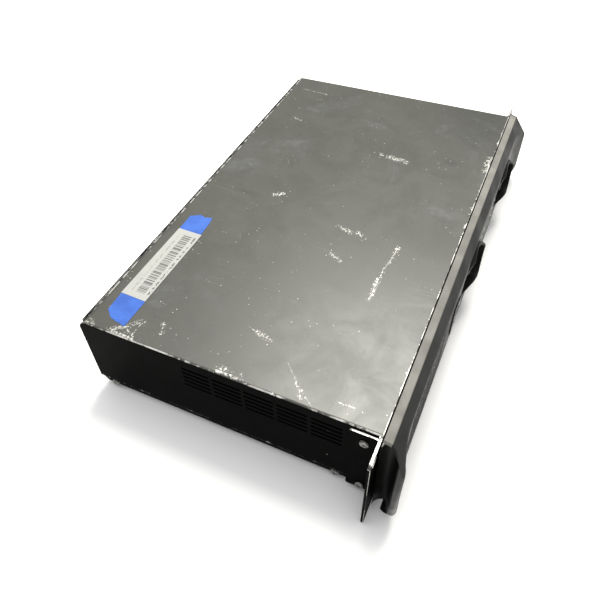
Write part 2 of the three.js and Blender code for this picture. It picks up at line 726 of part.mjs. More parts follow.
// Mains inlet: a recessed well with three blades behind a flange with two screw ears.
function powerInlet() {
  const flange = block(inletX - 25, inletX + 25, flangeY0, flangeY1 + 0.6, inletZ - 11.5, inletZ + 11.5);
  const body = block(inletX - 14, inletX + 14, 232, flangeY0 + 1, inletZ - 10.4, inletZ + 10.4);
  const mouth = [[-12, -8], [12, -8], [12, 3.6], [7.6, 8], [-7.6, 8], [-12, 3.6]]
    .map(([dx, dz]) => [inletX + dx, inletZ + dz]);
  const well = prism('y', mouth, 236, 262);
  const bladeAt = (u, v) => block(u - 1, u + 1, 235, 251, v - 2, v + 2);
  const blades = [[-7, -2], [7, -2], [0, 3]].map(([dx, dz]) => bladeAt(inletX + dx, inletZ + dz));
  const holes = [-20, 20].map((dx) => rod('y', 1.9, 250, 262, inletX + dx, inletZ, 6));
  const shell = cut(flange.add(body), [well, ...holes]);
  return join([shell, ...blades]);
}

function breakerBody() {
  const collar = rod('y', 8.4, rearFaceY + gap, rearFaceY + 3, breakerX, breakerZ, 6);
  const barrel = rod('y', 5.9, 250, rearFaceY + 3, breakerX, breakerZ, 14);
  const body = block(breakerX - 8, breakerX + 8, 226, 252.4, breakerZ - 14, breakerZ + 14);
  return join([collar, barrel, body]).subtract(rod('y', 4.1, 244, 262, breakerX, breakerZ, 14));
}

function breakerButton() {
  return rod('y', 3.7, 248.5, rearFaceY + 4.6, breakerX, breakerZ, 14);
}

function modeSwitchBody() {
  const body = block(modeX - 9, modeX + 9, 240, rearPanelY - gap, modeZ - 5, modeZ + 5);
  const slot = block(modeX - 4.6, modeX + 4.6, 246, 260, modeZ - 2.6, modeZ + 2.6);
  const terminal = (u) => block(u - 0.6, u + 0.6, 235, 241, modeZ - 1, modeZ + 1);
  const terminals = [-4, 0, 4].map((dx) => terminal(modeX + dx));
  return join([body, ...terminals]).subtract(slot);
}

function modeSwitchSlider() {
  return block(modeX - 4.3, modeX - 0.1, 246.4, rearFaceY + 1.4, modeZ - 2.2, modeZ + 2.2);
}

// ---------- fasteners, feet and stickers ----------

// Pan-head screw along X on one side of the chassis.
function sideScrew(side, headNear, y, z) {
  const head = sideRod(side, 3.6, headNear, headNear + 1.6, y, z, 10);
  const shank = sideRod(side, 1.6, insideHalf - 7, headNear + 0.4, y, z, 6);
  const [crossNear, crossFar] = [headNear + 0.8, headNear + 3];
  const cross = [[2, 0.45], [0.45, 2]]
    .map(([dy, dz]) => sideBlock(side, crossNear, crossFar, y - dy, y + dy, z - dz, z + dz));
  return cut(head.add(shank), cross);
}

const footPlaces = [30, 225].flatMap((y) => [-180, 180].map((x) => [x, y]));

function rubberFoot([x, y]) {
  return rod('z', 8.4, 0, footHeight - gap, x, y, 16, 9.6);
}

// One torn strip of tape on the lid, with a paper label stuck along the middle of it.
const tapeZ = chassisTop + 0.1;
const tapeThick = 0.15;
const tapeOutline = [
  [-206, 217], [-178, 216.4], [-88, 216.4], [-72, 217], [-63.3, 218.4], [-65.6, 225],
  [-64, 231], [-68.6, 239.4], [-88, 239.4], [-178, 240.6], [-196, 240], [-203.2, 231.4],
];
const labelOutline = [[-177.4, 217.6], [-88.6, 216.1], [-88.1, 239.6], [-176.6, 241]];

function labelTape() {
  return prism('z', tapeOutline, tapeZ, tapeZ + tapeThick);
}

function assetLabel() {
  const z = tapeZ + tapeThick + 0.05;
  return prism('z', labelOutline, z, z + tapeThick);
}

add('top_cover', topCover(), 'paint');
add('bottom_tray', bottomTray(), 'paint');
add('rear_panel', rearPanel(), 'paint');
add('front_subpanel', frontSubpanel(), 'zinc');
add('left_rack_ear', rackEar(-1), 'paint');
add('right_rack_ear', rackEar(1), 'paint');
add('front_bezel', frontBezel(), 'moulding');
add('dust_filter', dustFilter(), 'foam');

knobX.forEach((x, i) => {
  add(`level_knob_${i + 1}`, levelKnob(x), 'black');
  add(`level_shaft_${i + 1}`, levelShaft(x), 'steel');
  add(`level_pot_${i + 1}`, levelPot(x), 'zinc');
});
add('power_switch_body', rockerSwitchBody(), 'black');
add('power_rocker', powerRocker(), 'black');
add('light_pipes', lightPipes(), 'lens');
add('control_board', controlBoard(), 'board');

add('toroid_transformer', toroid(), 'copper');
add('transformer_clamp', transformerClamp(), 'zinc');
add('transformer_bolt', transformerBolt(), 'zinc');
sinkSpread.forEach((place, i) => add(`heat_sink_${i + 1}`, heatSink(place), 'aluminium'));
sinkSpread.forEach((place, i) => add(`transistor_bank_${i + 1}`, transistorBank(place), 'black'));
add('amp_board', ampBoard(), 'board');
[64, 118].forEach((y, i) => add(`reservoir_capacitor_${i + 1}`, reservoirCapacitor(y), 'sleeve'));
add('input_board', inputBoard(), 'board');

add('fan_frame', fanFrame(), 'black');
add('fan_rotor', fanRotor(), 'black');
add('fan_guard', fanGuard(), 'zinc');

xlrX.forEach((x, i) => {
  add(`xlr_jack_${i + 1}`, xlrJack(x), 'black');
  add(`xlr_latch_${i + 1}`, xlrLatch(x), 'zinc');
  add(`trs_jack_${i + 1}`, trsJack(x), 'black');
});
outletX.forEach((x, i) => add(`speaker_outlet_${i + 1}`, speakerOutlet(x), 'black'));
add('power_inlet', powerInlet(), 'black');
add('breaker_body', breakerBody(), 'black');
add('breaker_button', breakerButton(), 'red');
add('mode_switch_body', modeSwitchBody(), 'zinc');
add('mode_switch_slider', modeSwitchSlider(), 'black');

[['left', -1], ['right', 1]].forEach(([sideName, side]) => {
  const earSeat = earLegNear + earThick + gap;
  earScrews.forEach(([y, z], i) => {
    add(`${sideName}_ear_screw_${i + 1}`, sideScrew(side, earSeat, y, z), 'steel');
  });
  const traySeat = insideHalf + gap;
  trayScrewY.forEach((y, i) => {
    add(`${sideName}_tray_screw_${i + 1}`, sideScrew(side, traySeat, y, trayScrewZ), 'steel');
  });
});
footPlaces.forEach((place, i) => add(`rubber_foot_${i + 1}`, rubberFoot(place), 'rubber'));
add('label_tape', labelTape(), 'tape');
add('asset_label', assetLabel(), 'paper');

// Centre the bounding box on the origin in plan.
root.position.y = (frontReach - chassisDepth - rearReach) / 2;

export default root;
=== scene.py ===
"""Looks of the rack power amplifier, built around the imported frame. Lengths are in millimetres in the
calls below and become metres when a mesh is made. x is measured from the centre line, y from the front
plane of the steel chassis (towards the rear) and z from the surface the feet stand on."""
import math
import random

import bmesh
import bpy
from mathutils import Euler, Matrix, Vector


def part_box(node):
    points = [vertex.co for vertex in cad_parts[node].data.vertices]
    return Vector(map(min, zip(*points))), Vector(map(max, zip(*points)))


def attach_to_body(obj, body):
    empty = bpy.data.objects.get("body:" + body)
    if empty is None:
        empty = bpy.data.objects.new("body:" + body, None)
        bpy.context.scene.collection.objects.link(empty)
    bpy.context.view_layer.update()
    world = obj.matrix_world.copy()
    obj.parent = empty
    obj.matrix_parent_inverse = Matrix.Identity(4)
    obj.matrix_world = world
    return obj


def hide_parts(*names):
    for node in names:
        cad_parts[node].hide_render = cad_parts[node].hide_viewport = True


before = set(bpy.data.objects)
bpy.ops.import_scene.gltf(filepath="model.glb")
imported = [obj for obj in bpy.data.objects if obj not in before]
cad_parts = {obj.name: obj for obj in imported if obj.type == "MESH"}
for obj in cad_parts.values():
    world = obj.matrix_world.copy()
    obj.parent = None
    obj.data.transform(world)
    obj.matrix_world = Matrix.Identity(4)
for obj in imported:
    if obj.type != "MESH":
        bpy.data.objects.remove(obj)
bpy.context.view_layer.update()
random.seed(7)

MM = 0.001
LID_LOW, LID_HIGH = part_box("top_cover")
FRONT = LID_LOW[1]
HALF = LID_HIGH[0] / MM
TOP = LID_HIGH[2] / MM
BACK = (LID_HIGH[1] - FRONT) / MM
SHEET = 1.5
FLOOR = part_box("bottom_tray")[0][2] / MM
COVER_EDGE = LID_LOW[2] / MM


def local_box(node):
    """A node's box in this script's millimetres."""
    low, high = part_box(node)
    return tuple(tuple((v - (FRONT if i == 1 else 0)) / MM for i, v in enumerate(p)) for p in (low, high))


def linked(name, data):
    """A new object in the scene that holds a mesh, a lamp or a camera."""
    made = bpy.data.objects.new(name, data)
    bpy.context.scene.collection.objects.link(made)
    return made


# ---------------------------------------------------------------- camera, lights, floor

def make_camera():
    """Stands at the left front corner, above it, and looks down across the lid. Its place is in metres."""
    data = bpy.data.cameras.new("camera")
    camera = linked("camera", data)
    camera.location = (-0.4163, -0.1561, 0.4423)
    data.lens = 35.44
    data.sensor_width = 36
    data.shift_x = 0.028
    data.shift_y = -0.0153
    data.clip_start = 0.01
    heading, dip, roll = math.radians(62.34), math.radians(46.83), math.radians(-3.36)
    look = Euler((math.pi / 2 - dip, 0, -heading), "XYZ").to_matrix()
    camera.rotation_euler = (look @ Matrix.Rotation(roll, 3, "Z")).to_euler()
    bpy.context.scene.camera = camera


def area_light(name, place, target, size, power, colour=(1, 1, 1)):
    """A rectangular lamp that faces a target. Its lengths are in metres."""
    data = bpy.data.lights.new(name, "AREA")
    data.shape = "RECTANGLE"
    data.size, data.size_y = size
    data.energy = power
    data.color = colour
    lamp = linked(name, data)
    lamp.location = place
    lamp.rotation_euler = (Vector(target) - Vector(place)).to_track_quat("-Z", "Y").to_euler()


def make_stage():
    """A pale floor, even light from all round, and two lamps over the lid."""
    mesh = bpy.data.meshes.new("floor")
    edge = 6
    corners = [(-edge, -edge, 0), (edge, -edge, 0), (edge, edge, 0), (-edge, edge, 0)]
    mesh.from_pydata(corners, [], [(0, 1, 2, 3)])
    floor = linked("floor", mesh)
    floor.data.materials.append(plain_floor())
    world = bpy.context.scene.world or bpy.data.worlds.new("world")
    bpy.context.scene.world = world
    world.use_nodes = True
    background = world.node_tree.nodes["Background"]
    background.inputs["Color"].default_value = (1, 1, 1, 1)
    background.inputs["Strength"].default_value = 0.62
    bpy.context.scene.view_settings.view_transform = "Standard"
    area_light("overhead", (0.6, 0.02, 1.5), (-0.15, -0.06, 0.08), (0.75, 0.7), 30, (1.0, 0.98, 0.90))
    area_light("top_wash", (0.0, 0.3, 2.6), (0, 0, 0), (3.0, 3.0), 40)


# ---------------------------------------------------------------- material nodes

class Nodes:
    """Short calls for the nodes of one tree."""

    def __init__(self, tree):
        self.tree = tree

    def node(self, kind, inputs=(), **settings):
        """A new node, with its inputs linked to a socket or set to a value."""
        made = self.tree.nodes.new(kind)
        for key, value in settings.items():
            setattr(made, key, value)
        for key, value in dict(inputs).items():
            self.link(value, made.inputs[key])
        return made

    def link(self, value, socket):
        if isinstance(value, bpy.types.NodeSocket):
            self.tree.links.new(value, socket)
        else:
            socket.default_value = value

    def math(self, operation, a, b, clamp=False):
        return self.node("ShaderNodeMath", {0: a, 1: b}, operation=operation, use_clamp=clamp).outputs[0]

    def vector(self, operation, inputs, output=0):
        return self.node("ShaderNodeVectorMath", inputs, operation=operation).outputs[output]

    def times(self, a, b):
        return self.math("MULTIPLY", a, b)

    def most(self, a, b):
        return self.math("MAXIMUM", a, b)

    def least(self, a, b):
        return self.math("MINIMUM", a, b)

    def plus(self, a, b):
        return self.math("ADD", a, b)

    def minus(self, a, b):
        return self.math("SUBTRACT", a, b)

    def share(self, a, b, clamp=False):
        return self.math("DIVIDE", a, b, clamp)


class Maker(Nodes):
    """A material under construction."""

    def __init__(self, name, **sockets):
        self.material = bpy.data.materials.new(name)
        self.material.use_nodes = True
        super().__init__(self.material.node_tree)
        self.shader = self.tree.nodes["Principled BSDF"]
        for socket, value in sockets.items():
            self.to(socket.replace("_", " "), value)
        self.place = self.node("ShaderNodeTexCoord").outputs["Object"]

    def to(self, socket, value):
        self.link(value, self.shader.inputs[socket])

    def axes(self, vector=None):
        return self.node("ShaderNodeSeparateXYZ", {0: vector or self.place}).outputs

    def up(self):
        """How far the surface faces up, from -1 to 1."""
        return self.axes(self.node("ShaderNodeNewGeometry").outputs["Normal"])[2]

    def moved(self, scale, turn=0):
        """The place, turned about z and scaled."""
        inputs = {"Vector": self.place, "Scale": scale, "Rotation": (0, 0, turn)}
        return self.node("ShaderNodeMapping", inputs).outputs[0]

    def noise(self, scale, detail=2.0, rough=0.5, vector=None, distortion=0.0):
        inputs = {"Vector": vector or self.place, "Scale": scale, "Detail": detail, "Roughness": rough,
                  "Distortion": distortion}
        return self.node("ShaderNodeTexNoise", inputs).outputs["Fac"]

    def cells(self, scale, vector=None, feature="F1"):
        inputs = {"Vector": vector or self.place, "Scale": scale}
        return self.node("ShaderNodeTexVoronoi", inputs, feature=feature).outputs["Distance"]

    def remap(self, value, low, high, out_low=0.0, out_high=1.0):
        """A smooth step between two outputs where the value passes low to high."""
        inputs = {"Value": value, "From Min": low, "From Max": high, "To Min": out_low, "To Max": out_high}
        return self.node("ShaderNodeMapRange", inputs, interpolation_type="SMOOTHSTEP").outputs["Result"]

    def patches(self, scale, low, high, out_low=0.0, out_high=1.0, **looks):
        """A noise, remapped."""
        return self.remap(self.noise(scale, **looks), low, high, out_low, out_high)

    def band(self, value, start, end, fade):
        """1 between two values of an input and 0 outside them."""
        rise = self.remap(value, start, start + fade)
        return self.times(rise, self.remap(value, end, end + fade, 1.0, 0.0))

    def blend(self, factor, a, b, kind="FLOAT"):
        inputs = {"Factor": factor, "A": a, "B": b}
        return self.node("ShaderNodeMix", inputs, data_type=kind).outputs["Result"]

    def mix(self, factor, a, b):
        """A blend of two colours, each a socket or three numbers."""
        a, b = (v if isinstance(v, bpy.types.NodeSocket) else (*v, 1) for v in (a, b))
        return self.blend(factor, a, b, "RGBA")

    def colour(self, factor, a, b):
        self.to("Base Color", self.mix(factor, a, b))

    def bump(self, height, strength, distance):
        inputs = {"Height": height, "Strength": strength, "Distance": distance}
        self.to("Normal", self.node("ShaderNodeBump", inputs).outputs["Normal"])

    def edge_distance(self, low, high):
        """Distance in metres, on the skin of a box, from its nearest edge."""
        gaps = []
        for axis, socket in enumerate(self.axes()):
            centre, half = (low[axis] + high[axis]) / 2, (high[axis] - low[axis]) / 2
            gaps.append(self.minus(half, self.math("ABSOLUTE", self.minus(socket, centre), 0.0)))
        a, b, c = gaps
        return self.most(self.least(a, b), self.least(self.most(a, b), c))


def segment_group():
    """A node group: the distance from the line between A and B, counted in line widths."""
    group = bpy.data.node_groups.new("scratch_line", "ShaderNodeTree")
    for name, kind in (("Place", "Vector"), ("A", "Vector"), ("B", "Vector"), ("Width", "Float")):
        group.interface.new_socket(name, in_out="INPUT", socket_type=f"NodeSocket{kind}")
    group.interface.new_socket("Widths", in_out="OUTPUT", socket_type="NodeSocketFloat")
    m = Nodes(group)
    source = m.node("NodeGroupInput").outputs
    along = m.vector("SUBTRACT", {0: source["B"], 1: source["A"]})
    here = m.vector("SUBTRACT", {0: source["Place"], 1: source["A"]})
    reach = m.vector("DOT_PRODUCT", {0: here, 1: along}, "Value")
    share = m.share(reach, m.vector("DOT_PRODUCT", {0: along, 1: along}, "Value"), clamp=True)
    foot = m.vector("SCALE", {0: along, "Scale": share})
    gap = m.vector("DISTANCE", {0: here, 1: foot}, "Value")
    m.node("NodeGroupOutput", {"Widths": m.share(gap, source["Width"])})
    return group


# ---------------------------------------------------------------- materials

def grey(level):
    return (level,) * 3


def plain_floor():
    m = Maker("floor_pale", Roughness=0.9)
    m.colour(m.noise(3), grey(0.93), grey(0.96))
    return m.material


BARE = (0.50, 0.49, 0.46)
PRIMER = (0.72, 0.71, 0.67)


def hairlines(m):
    """Faint hair scratches that run three ways, each broken up by a slow noise."""
    drawn = None
    for angle, scale, low, high in ((0.5, 60, 0.52, 0.72), (2.1, 75, 0.55, 0.75), (1.2, 50, 0.56, 0.74)):
        vector = m.moved((scale, scale * 0.03, scale), angle)
        lines = m.remap(m.cells(1.0, vector=vector, feature="DISTANCE_TO_EDGE"), 0.0, 0.02, 1.0, 0.0)
        lines = m.times(lines, m.patches(14 + angle, low, high, detail=3))
        drawn = m.most(drawn, lines) if drawn else lines
    return m.times(drawn, 0.35)


# Marks on the lid: x and y of the start, x and y of the end, width, and how deep the mark goes.
LID_MARKS = [
    (-35, 47, -70, 50, 0.7, 0.9), (-70, 50, -104, 50.5, 0.8, 0.9), (92, 107, 91.5, 96, 1.4, 1.0),
    (91.5, 96, 89.5, 79, 1.3, 0.9), (-29, 105, -33, 92, 1.0, 0.8), (-31, 86, -36, 80, 1.2, 0.8),
    (-66, 97, -71, 88, 0.9, 0.9), (-168, 125, -172, 105, 0.9, 0.9), (-187, 83, -204, 66, 0.4, 0.55),
    (-204, 66, -212, 62, 0.6, 0.9), (-204, 64, -214, 53, 0.35, 0.5), (-203, 38, -203, 25, 0.8, 1.0),
    (-213, 224, -197, 206, 1.3, 0.9), (-216, 206, -197, 206, 1.0, 0.8), (-206, 216, -210, 208, 1.2, 0.8),
    (-199, 186, -190, 190, 1.2, 0.7), (190, 239, 187, 206, 0.5, 0.5), (127, 222, 123, 210, 0.7, 0.7),
    (-10, 181, -4, 171, 1.0, 0.9), (126, 1.2, 105, 2.0, 1.6, 1.0), (-213, 257, -196, 258, 2.0, 1.0),
    (-213.5, 258, -213.8, 246, 1.8, 1.0), (-213.8, 224, -213.8, 203, 1.8, 0.9),
    (-213.8, 129, -213.8, 111, 2.0, 1.0),
]
WOBBLE = 0.0022


def lid_marks(m):
    """The scratches of LID_MARKS as one mask: a broken line each, with crumbs of bare metal beside it."""
    group = segment_group()
    shift = WOBBLE / 2
    noisy = m.node("ShaderNodeTexNoise", {"Scale": 90, "Vector": m.place}).outputs["Color"]
    bent = m.vector("ADD", {0: m.place, 1: m.vector("SCALE", {0: noisy, "Scale": WOBBLE})})
    flat = m.vector("MULTIPLY", {0: bent, 1: (1, 1, 0)})
    nearest = None
    for *ends, width, depth in LID_MARKS:
        a, b = [(x * MM + shift, y * MM + FRONT + shift, 0) for x, y in (ends[:2], ends[2:])]
        line = {"Place": flat, "A": a, "B": b, "Width": width * (0.3 + 0.45 * depth) * MM}
        widths = m.node("ShaderNodeGroup", line, node_tree=group).outputs[0]
        nearest = m.least(nearest, widths) if nearest else widths
    broken = m.patches(420, 0.46, 0.56, detail=4, rough=0.7)
    thin = m.times(m.remap(nearest, 0.55, 0.9, 0.75, 0.0), broken)
    crumbs = m.times(m.patches(640, 0.53, 0.58, detail=4, rough=0.8),
                     m.patches(90, 0.46, 0.56, detail=3, rough=0.7))
    return m.most(thin, m.times(m.remap(nearest, 2.1, 5.2, 1.0, 0.0), crumbs))


def worn_edges(m, node, chips):
    """Bare metal along the edges of a node's box, in chips and rubbed stretches of uneven width."""
    chip_width, rub_width, blur = 0.0024 * chips, 0.0003 * chips, 0.0001
    edge = m.edge_distance(*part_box(node))
    chipped = m.times(m.patches(210, 0.5, 0.76, detail=5, rough=0.75), chip_width)
    chipped = m.times(chipped, m.patches(20, 0.44, 0.62, 0.05, 1.0, detail=3))
    rubbed = m.times(m.patches(60, 0.42, 0.54, detail=4, rough=0.7), rub_width)
    return m.remap(m.minus(m.plus(chipped, rubbed), edge), -blur, blur)


def bare_specks(m, flat, sparse):
    """Pin-prick chips of two sizes, gathered in loose groups."""
    coarse = m.remap(m.cells(75, vector=m.moved(flat)), 0.015, 0.055, 1.0, 0.0)
    coarse = m.times(coarse, m.patches(22, sparse, sparse + 0.07, detail=3, rough=0.7))
    fine = m.remap(m.cells(210, vector=m.moved(flat, turn=0.4)), 0.03, 0.13, 1.0, 0.0)
    fine = m.times(fine, m.patches(31, sparse + 0.05, sparse + 0.14, detail=4, rough=0.7))
    return m.most(coarse, fine)


def rubbed_fold(m):
    """Metal that shows through where the sheet turns down at the sides."""
    return m.times(m.remap(m.up(), 0.97, 0.8), m.patches(48, 0.47, 0.55, detail=5, rough=0.75))


def dust_haze(m, dusty, darker_front_right):
    """Dust on the paint, thinner in slow patches. If asked, the haze also fades towards the front right
    corner, which leaves the paint darker there.
    """
    haze = m.times(m.patches(7, 0.25, 0.8, 0.8, 1.0), dusty)
    if darker_front_right:
        # Less haze, so darker paint, towards the front right corner.
        x, y, _z = m.axes()
        corner = m.times(m.remap(x, 0.06, 0.20), m.remap(y, 0.0, -0.11, 0.0, 0.5))
        haze = m.times(haze, m.minus(1.0, corner))
    return haze


def smeared(m, paint):
    """Paint with pale wipe marks and dark grime over it."""
    smear = m.patches(11, 0.52, 0.72, detail=6, rough=0.72, distortion=1.2)
    smear = m.times(smear, m.patches(150, 0.35, 0.65, 0.25, 0.75, detail=4, rough=0.7))
    paint = m.mix(smear, paint, (0.105, 0.107, 0.108))
    grime = m.times(m.patches(17, 0.58, 0.72, detail=5, rough=0.7), 0.55)
    return m.mix(grime, paint, (0.014, 0.013, 0.011))


def worn_paint(name, node, chips, specular, dusty=0.0, marks=False):
    """Satin black paint with a fine grain, chipped at its edges. With marks it is a lid: dusty, scratched
    and smeared."""
    m = Maker(name)
    fine = m.noise(900, detail=3, rough=0.6)
    worn = worn_edges(m, node, chips)
    specks = bare_specks(m, (1, 1, 0.02) if marks else (1, 1, 1), 0.46 if marks else 0.55)
    bare = m.most(worn, m.times(specks, 0.8))
    if marks:
        bare = m.most(m.most(bare, rubbed_fold(m)), lid_marks(m))
    paint = m.mix(dust_haze(m, dusty, marks), (0.0022, 0.0022, 0.0021), (0.049, 0.0495, 0.0395))
    if marks:
        paint = smeared(m, paint)
    grain = m.times(m.remap(fine, 0.35, 0.75), 0.3 + 0.4 * dusty)
    paint = m.mix(grain, paint, (0.006 + 0.053 * dusty, 0.006 + 0.0535 * dusty, 0.0057 + 0.043 * dusty))
    smudge = m.patches(26, 0.3, 0.7, 0.34, 0.44, detail=5, rough=0.65, distortion=0.6)
    height = m.minus(m.times(fine, 0.5), bare)
    if marks:
        lines = hairlines(m)
        paint = m.mix(m.times(lines, 0.5), paint, (0.16, 0.16, 0.15))
        smudge = m.minus(smudge, m.times(lines, 0.1))
        height = m.minus(height, m.times(lines, 0.5))
    metal_tint = m.mix(m.patches(70, 0.4, 0.6, detail=3), BARE, PRIMER)
    m.colour(bare, paint, metal_tint)
    m.to("Metallic", m.times(bare, 0.45))
    m.to("Roughness", m.blend(bare, smudge, 0.42))
    m.to("Specular IOR Level", specular)
    m.bump(height, 0.35, 0.00012)
    return m.material


def grained_plastic(name, colour, grain=700, roughness=0.42, specular=0.4, dust=None):
    """Moulded plastic with a spark-eroded grain and pale scuffs. Its up-facing top strip is paled by dust and
    by a painted sheen.
    """
    m = Maker(name)
    m.to("Specular IOR Level", specular)
    fine = m.noise(grain, detail=2, rough=0.6)
    light = tuple(min(1, c * 1.5 + 0.003) for c in colour)
    paint = m.mix(m.times(m.patches(12, 0.3, 0.7, detail=4), 0.6), colour, light)
    scuff = m.times(m.remap(m.cells(55), 0.02, 0.09, 1.0, 0.0), m.patches(25, 0.56, 0.66))
    if dust:
        # Pale colour on up-facing faces near the top: dust, and a painted sheen where that strip catches the
        # light.
        dust_and_sheen = m.times(m.remap(m.up(), 0.75, 0.95), m.patches(60, 0.25, 0.75, 0.7, 1.0, detail=4))
        dust_and_sheen = m.times(dust_and_sheen, m.remap(m.axes()[2], 0.078, 0.083))
        paint = m.mix(dust_and_sheen, paint, dust)
    m.colour(m.times(scuff, 0.75), paint, (0.42, 0.42, 0.4))
    m.to("Roughness", m.patches(40, 0.3, 0.7, roughness - 0.06, roughness + 0.08, detail=4))
    m.bump(m.minus(fine, m.times(scuff, 0.5)), 0.25, 0.00012)
    return m.material


def worked_metal(name, colour, roughness, stain=(0.2, 0.19, 0.17), brush=(1, 1, 1)):
    """Plated or machined metal with drawn lines, dull spots and handling stains."""
    m = Maker(name, Metallic=0.92)
    drawn = m.noise(420, detail=2, vector=m.moved(brush))
    spots = m.times(m.patches(60, 0.5, 0.72, detail=5, rough=0.7), 0.6)
    m.colour(spots, colour, stain)
    m.to("Roughness", m.plus(m.times(drawn, 0.18), roughness - 0.09))
    m.bump(drawn, 0.15, 0.00008)
    return m.material


def worn_edge_metal(name, low, high):
    """A sheet edge rubbed through to the steel, with paint left on it where a noise passes low to high."""
    m = Maker(name)
    kept = m.patches(130, low, high, detail=5, rough=0.7)
    m.colour(kept, (0.55, 0.54, 0.51), grey(0.02))
    m.to("Metallic", m.remap(kept, 0, 1, 0.4, 0.0))
    m.to("Roughness", m.patches(300, 0.3, 0.7, 0.35, 0.5))
    m.bump(kept, 0.3, 0.00015)
    return m.material


def black_oxide(name):
    """Black screw finish, rubbed through to the steel in patches."""
    m = Maker(name)
    rub = m.patches(380, 0.4, 0.6, detail=4, rough=0.7)
    m.colour(rub, grey(0.03), (0.34, 0.33, 0.31))
    m.to("Metallic", m.times(rub, 0.7))
    m.to("Roughness", m.patches(200, 0.3, 0.7, 0.3, 0.5))
    m.bump(m.noise(600), 0.2, 0.0001)
    return m.material


def foam_material():
    """Open-cell foam, with painted shade inside its pores."""
    m = Maker("filter_foam", Roughness=1.0)
    pores = m.cells(900)
    # Darker towards the middle of each pore: painted shade.
    m.colour(m.remap(pores, 0.1, 0.5), grey(0.006), grey(0.05))
    m.bump(pores, 0.9, 0.0008)
    return m.material


def rubber_material():
    """Black rubber, greyed in patches by dust."""
    m = Maker("foot_rubber")
    m.colour(m.patches(90, 0.35, 0.7, detail=4), grey(0.012), (0.07, 0.068, 0.062))
    m.to("Roughness", m.patches(200, 0.3, 0.7, 0.7, 0.95))
    m.bump(m.noise(500, detail=3), 0.3, 0.0002)
    return m.material


def tape_material():
    """Crepe paper tape: fine cross ribs with painted highlight on their crests, in a blue that varies slowly.
    """
    m = Maker("blue_crepe_tape", Roughness=0.62)
    ribs = m.noise(1.0, detail=3, vector=m.moved((900, 160, 1)))
    press = m.noise(55, detail=4)
    blue = m.mix(m.remap(press, 0.3, 0.7), (0.014, 0.075, 0.36), (0.026, 0.112, 0.46))
    # Paler on the rib crests: painted highlight.
    m.colour(m.times(m.remap(ribs, 0.5, 0.75), 0.35), blue, (0.06, 0.17, 0.58))
    m.bump(m.plus(ribs, m.times(press, 0.5)), 0.5, 0.00025)
    return m.material


def label_material():
    """Soiled paper label: plain bars with no meaning, and above and below them a row of broken marks."""
    m = Maker("paper_label", Roughness=0.55)
    low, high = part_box("asset_label")
    x, y, _z = m.axes()
    across = m.share(m.minus(y, low[1]), high[1] - low[1])
    along = m.share(m.minus(x, low[0]), high[0] - low[0])
    printed = m.band(along, 0.06, 0.92, 0.01)
    inputs = {"W": m.times(x, 1000), "Scale": 0.75, "Detail": 1}
    bars = m.node("ShaderNodeTexNoise", inputs, noise_dimensions="1D").outputs["Fac"]
    ink = m.times(m.remap(bars, 0.48, 0.51), m.band(across, 0.22, 0.56, 0.02))
    rows = m.most(m.times(m.band(across, 0.68, 0.75, 0.02), 0.4), m.band(across, 0.05, 0.12, 0.02))
    rows = m.times(rows, m.patches(420, 0.48, 0.54, detail=1))
    ink = m.times(m.most(ink, rows), printed)
    soil = m.times(m.patches(45, 0.45, 0.75, detail=5, rough=0.7), 0.35)
    paper = m.mix(soil, (0.37, 0.37, 0.35), (0.27, 0.26, 0.24))
    m.colour(m.times(ink, 0.85), paper, (0.06, 0.058, 0.055))
    m.bump(m.noise(300, detail=3), 0.15, 0.0001)
    return m.material


def board_material():
    """Green circuit board with darker lines between its copper areas."""
    m = Maker("circuit_board", Roughness=0.35)
    tracks = m.remap(m.cells(160, feature="DISTANCE_TO_EDGE"), 0.06, 0.09)
    m.colour(tracks, (0.02, 0.12, 0.045), (0.012, 0.065, 0.025))
    m.bump(tracks, 0.3, 0.0001)
    return m.material


def winding_material():
    """Varnished copper wire, with the turns as fine streaks of painted highlight and shade."""
    m = Maker("varnished_winding", Roughness=0.3)
    turns = m.noise(1.0, detail=1, vector=m.moved((420, 420, 40)))
    # Light and dark copper in streaks: painted highlight on the turns and painted shade between them.
    m.colour(m.remap(turns, 0.35, 0.65), (0.16, 0.055, 0.015), (0.55, 0.24, 0.08))
    m.to("Metallic", m.remap(turns, 0.35, 0.65, 0.1, 0.6))
    m.bump(turns, 0.6, 0.0006)
    return m.material


def sleeve_material():
    """Dark blue shrink sleeve of a capacitor."""
    m = Maker("capacitor_sleeve", Roughness=0.25)
    m.colour(m.patches(30, 0.45, 0.5, detail=1), (0.012, 0.014, 0.022), (0.03, 0.034, 0.05))
    m.bump(m.noise(300), 0.1, 0.0001)
    return m.material


def lens_material():
    """Milky clear acrylic."""
    m = Maker("light_pipe", Roughness=0.12, IOR=1.49, Transmission_Weight=0.6)
    m.colour(m.noise(200), (0.55, 0.62, 0.52), (0.75, 0.8, 0.72))
    return m.material


# ---------------------------------------------------------------- mesh tools

def change_mesh(mesh, *steps):
    """Runs each step on the mesh as a bmesh."""
    work = bmesh.new()
    work.from_mesh(mesh)
    for step in steps:
        step(work)
    work.to_mesh(mesh)
    work.free()


def weld(work, distance=1e-7):
    bmesh.ops.remove_doubles(work, verts=work.verts, dist=distance)


def turn_outwards(work):
    bmesh.ops.recalc_face_normals(work, faces=work.faces)


def mesh_object(name, vertices, faces):
    """A mesh from points in this script's millimetres, with its normals outwards."""
    mesh = bpy.data.meshes.new(name)
    mesh.from_pydata([(x * MM, y * MM + FRONT, z * MM) for x, y, z in vertices], [], faces)
    change_mesh(mesh, weld, turn_outwards)
    return linked(name, mesh)


def arc(cu, cv, radius, start, end, steps=6):
    """Points on a circle from one angle to another, in degrees."""
    angles = [math.radians(start + (end - start) * i / steps) for i in range(steps + 1)]
    return [(cu + radius * math.cos(a), cv + radius * math.sin(a)) for a in angles]


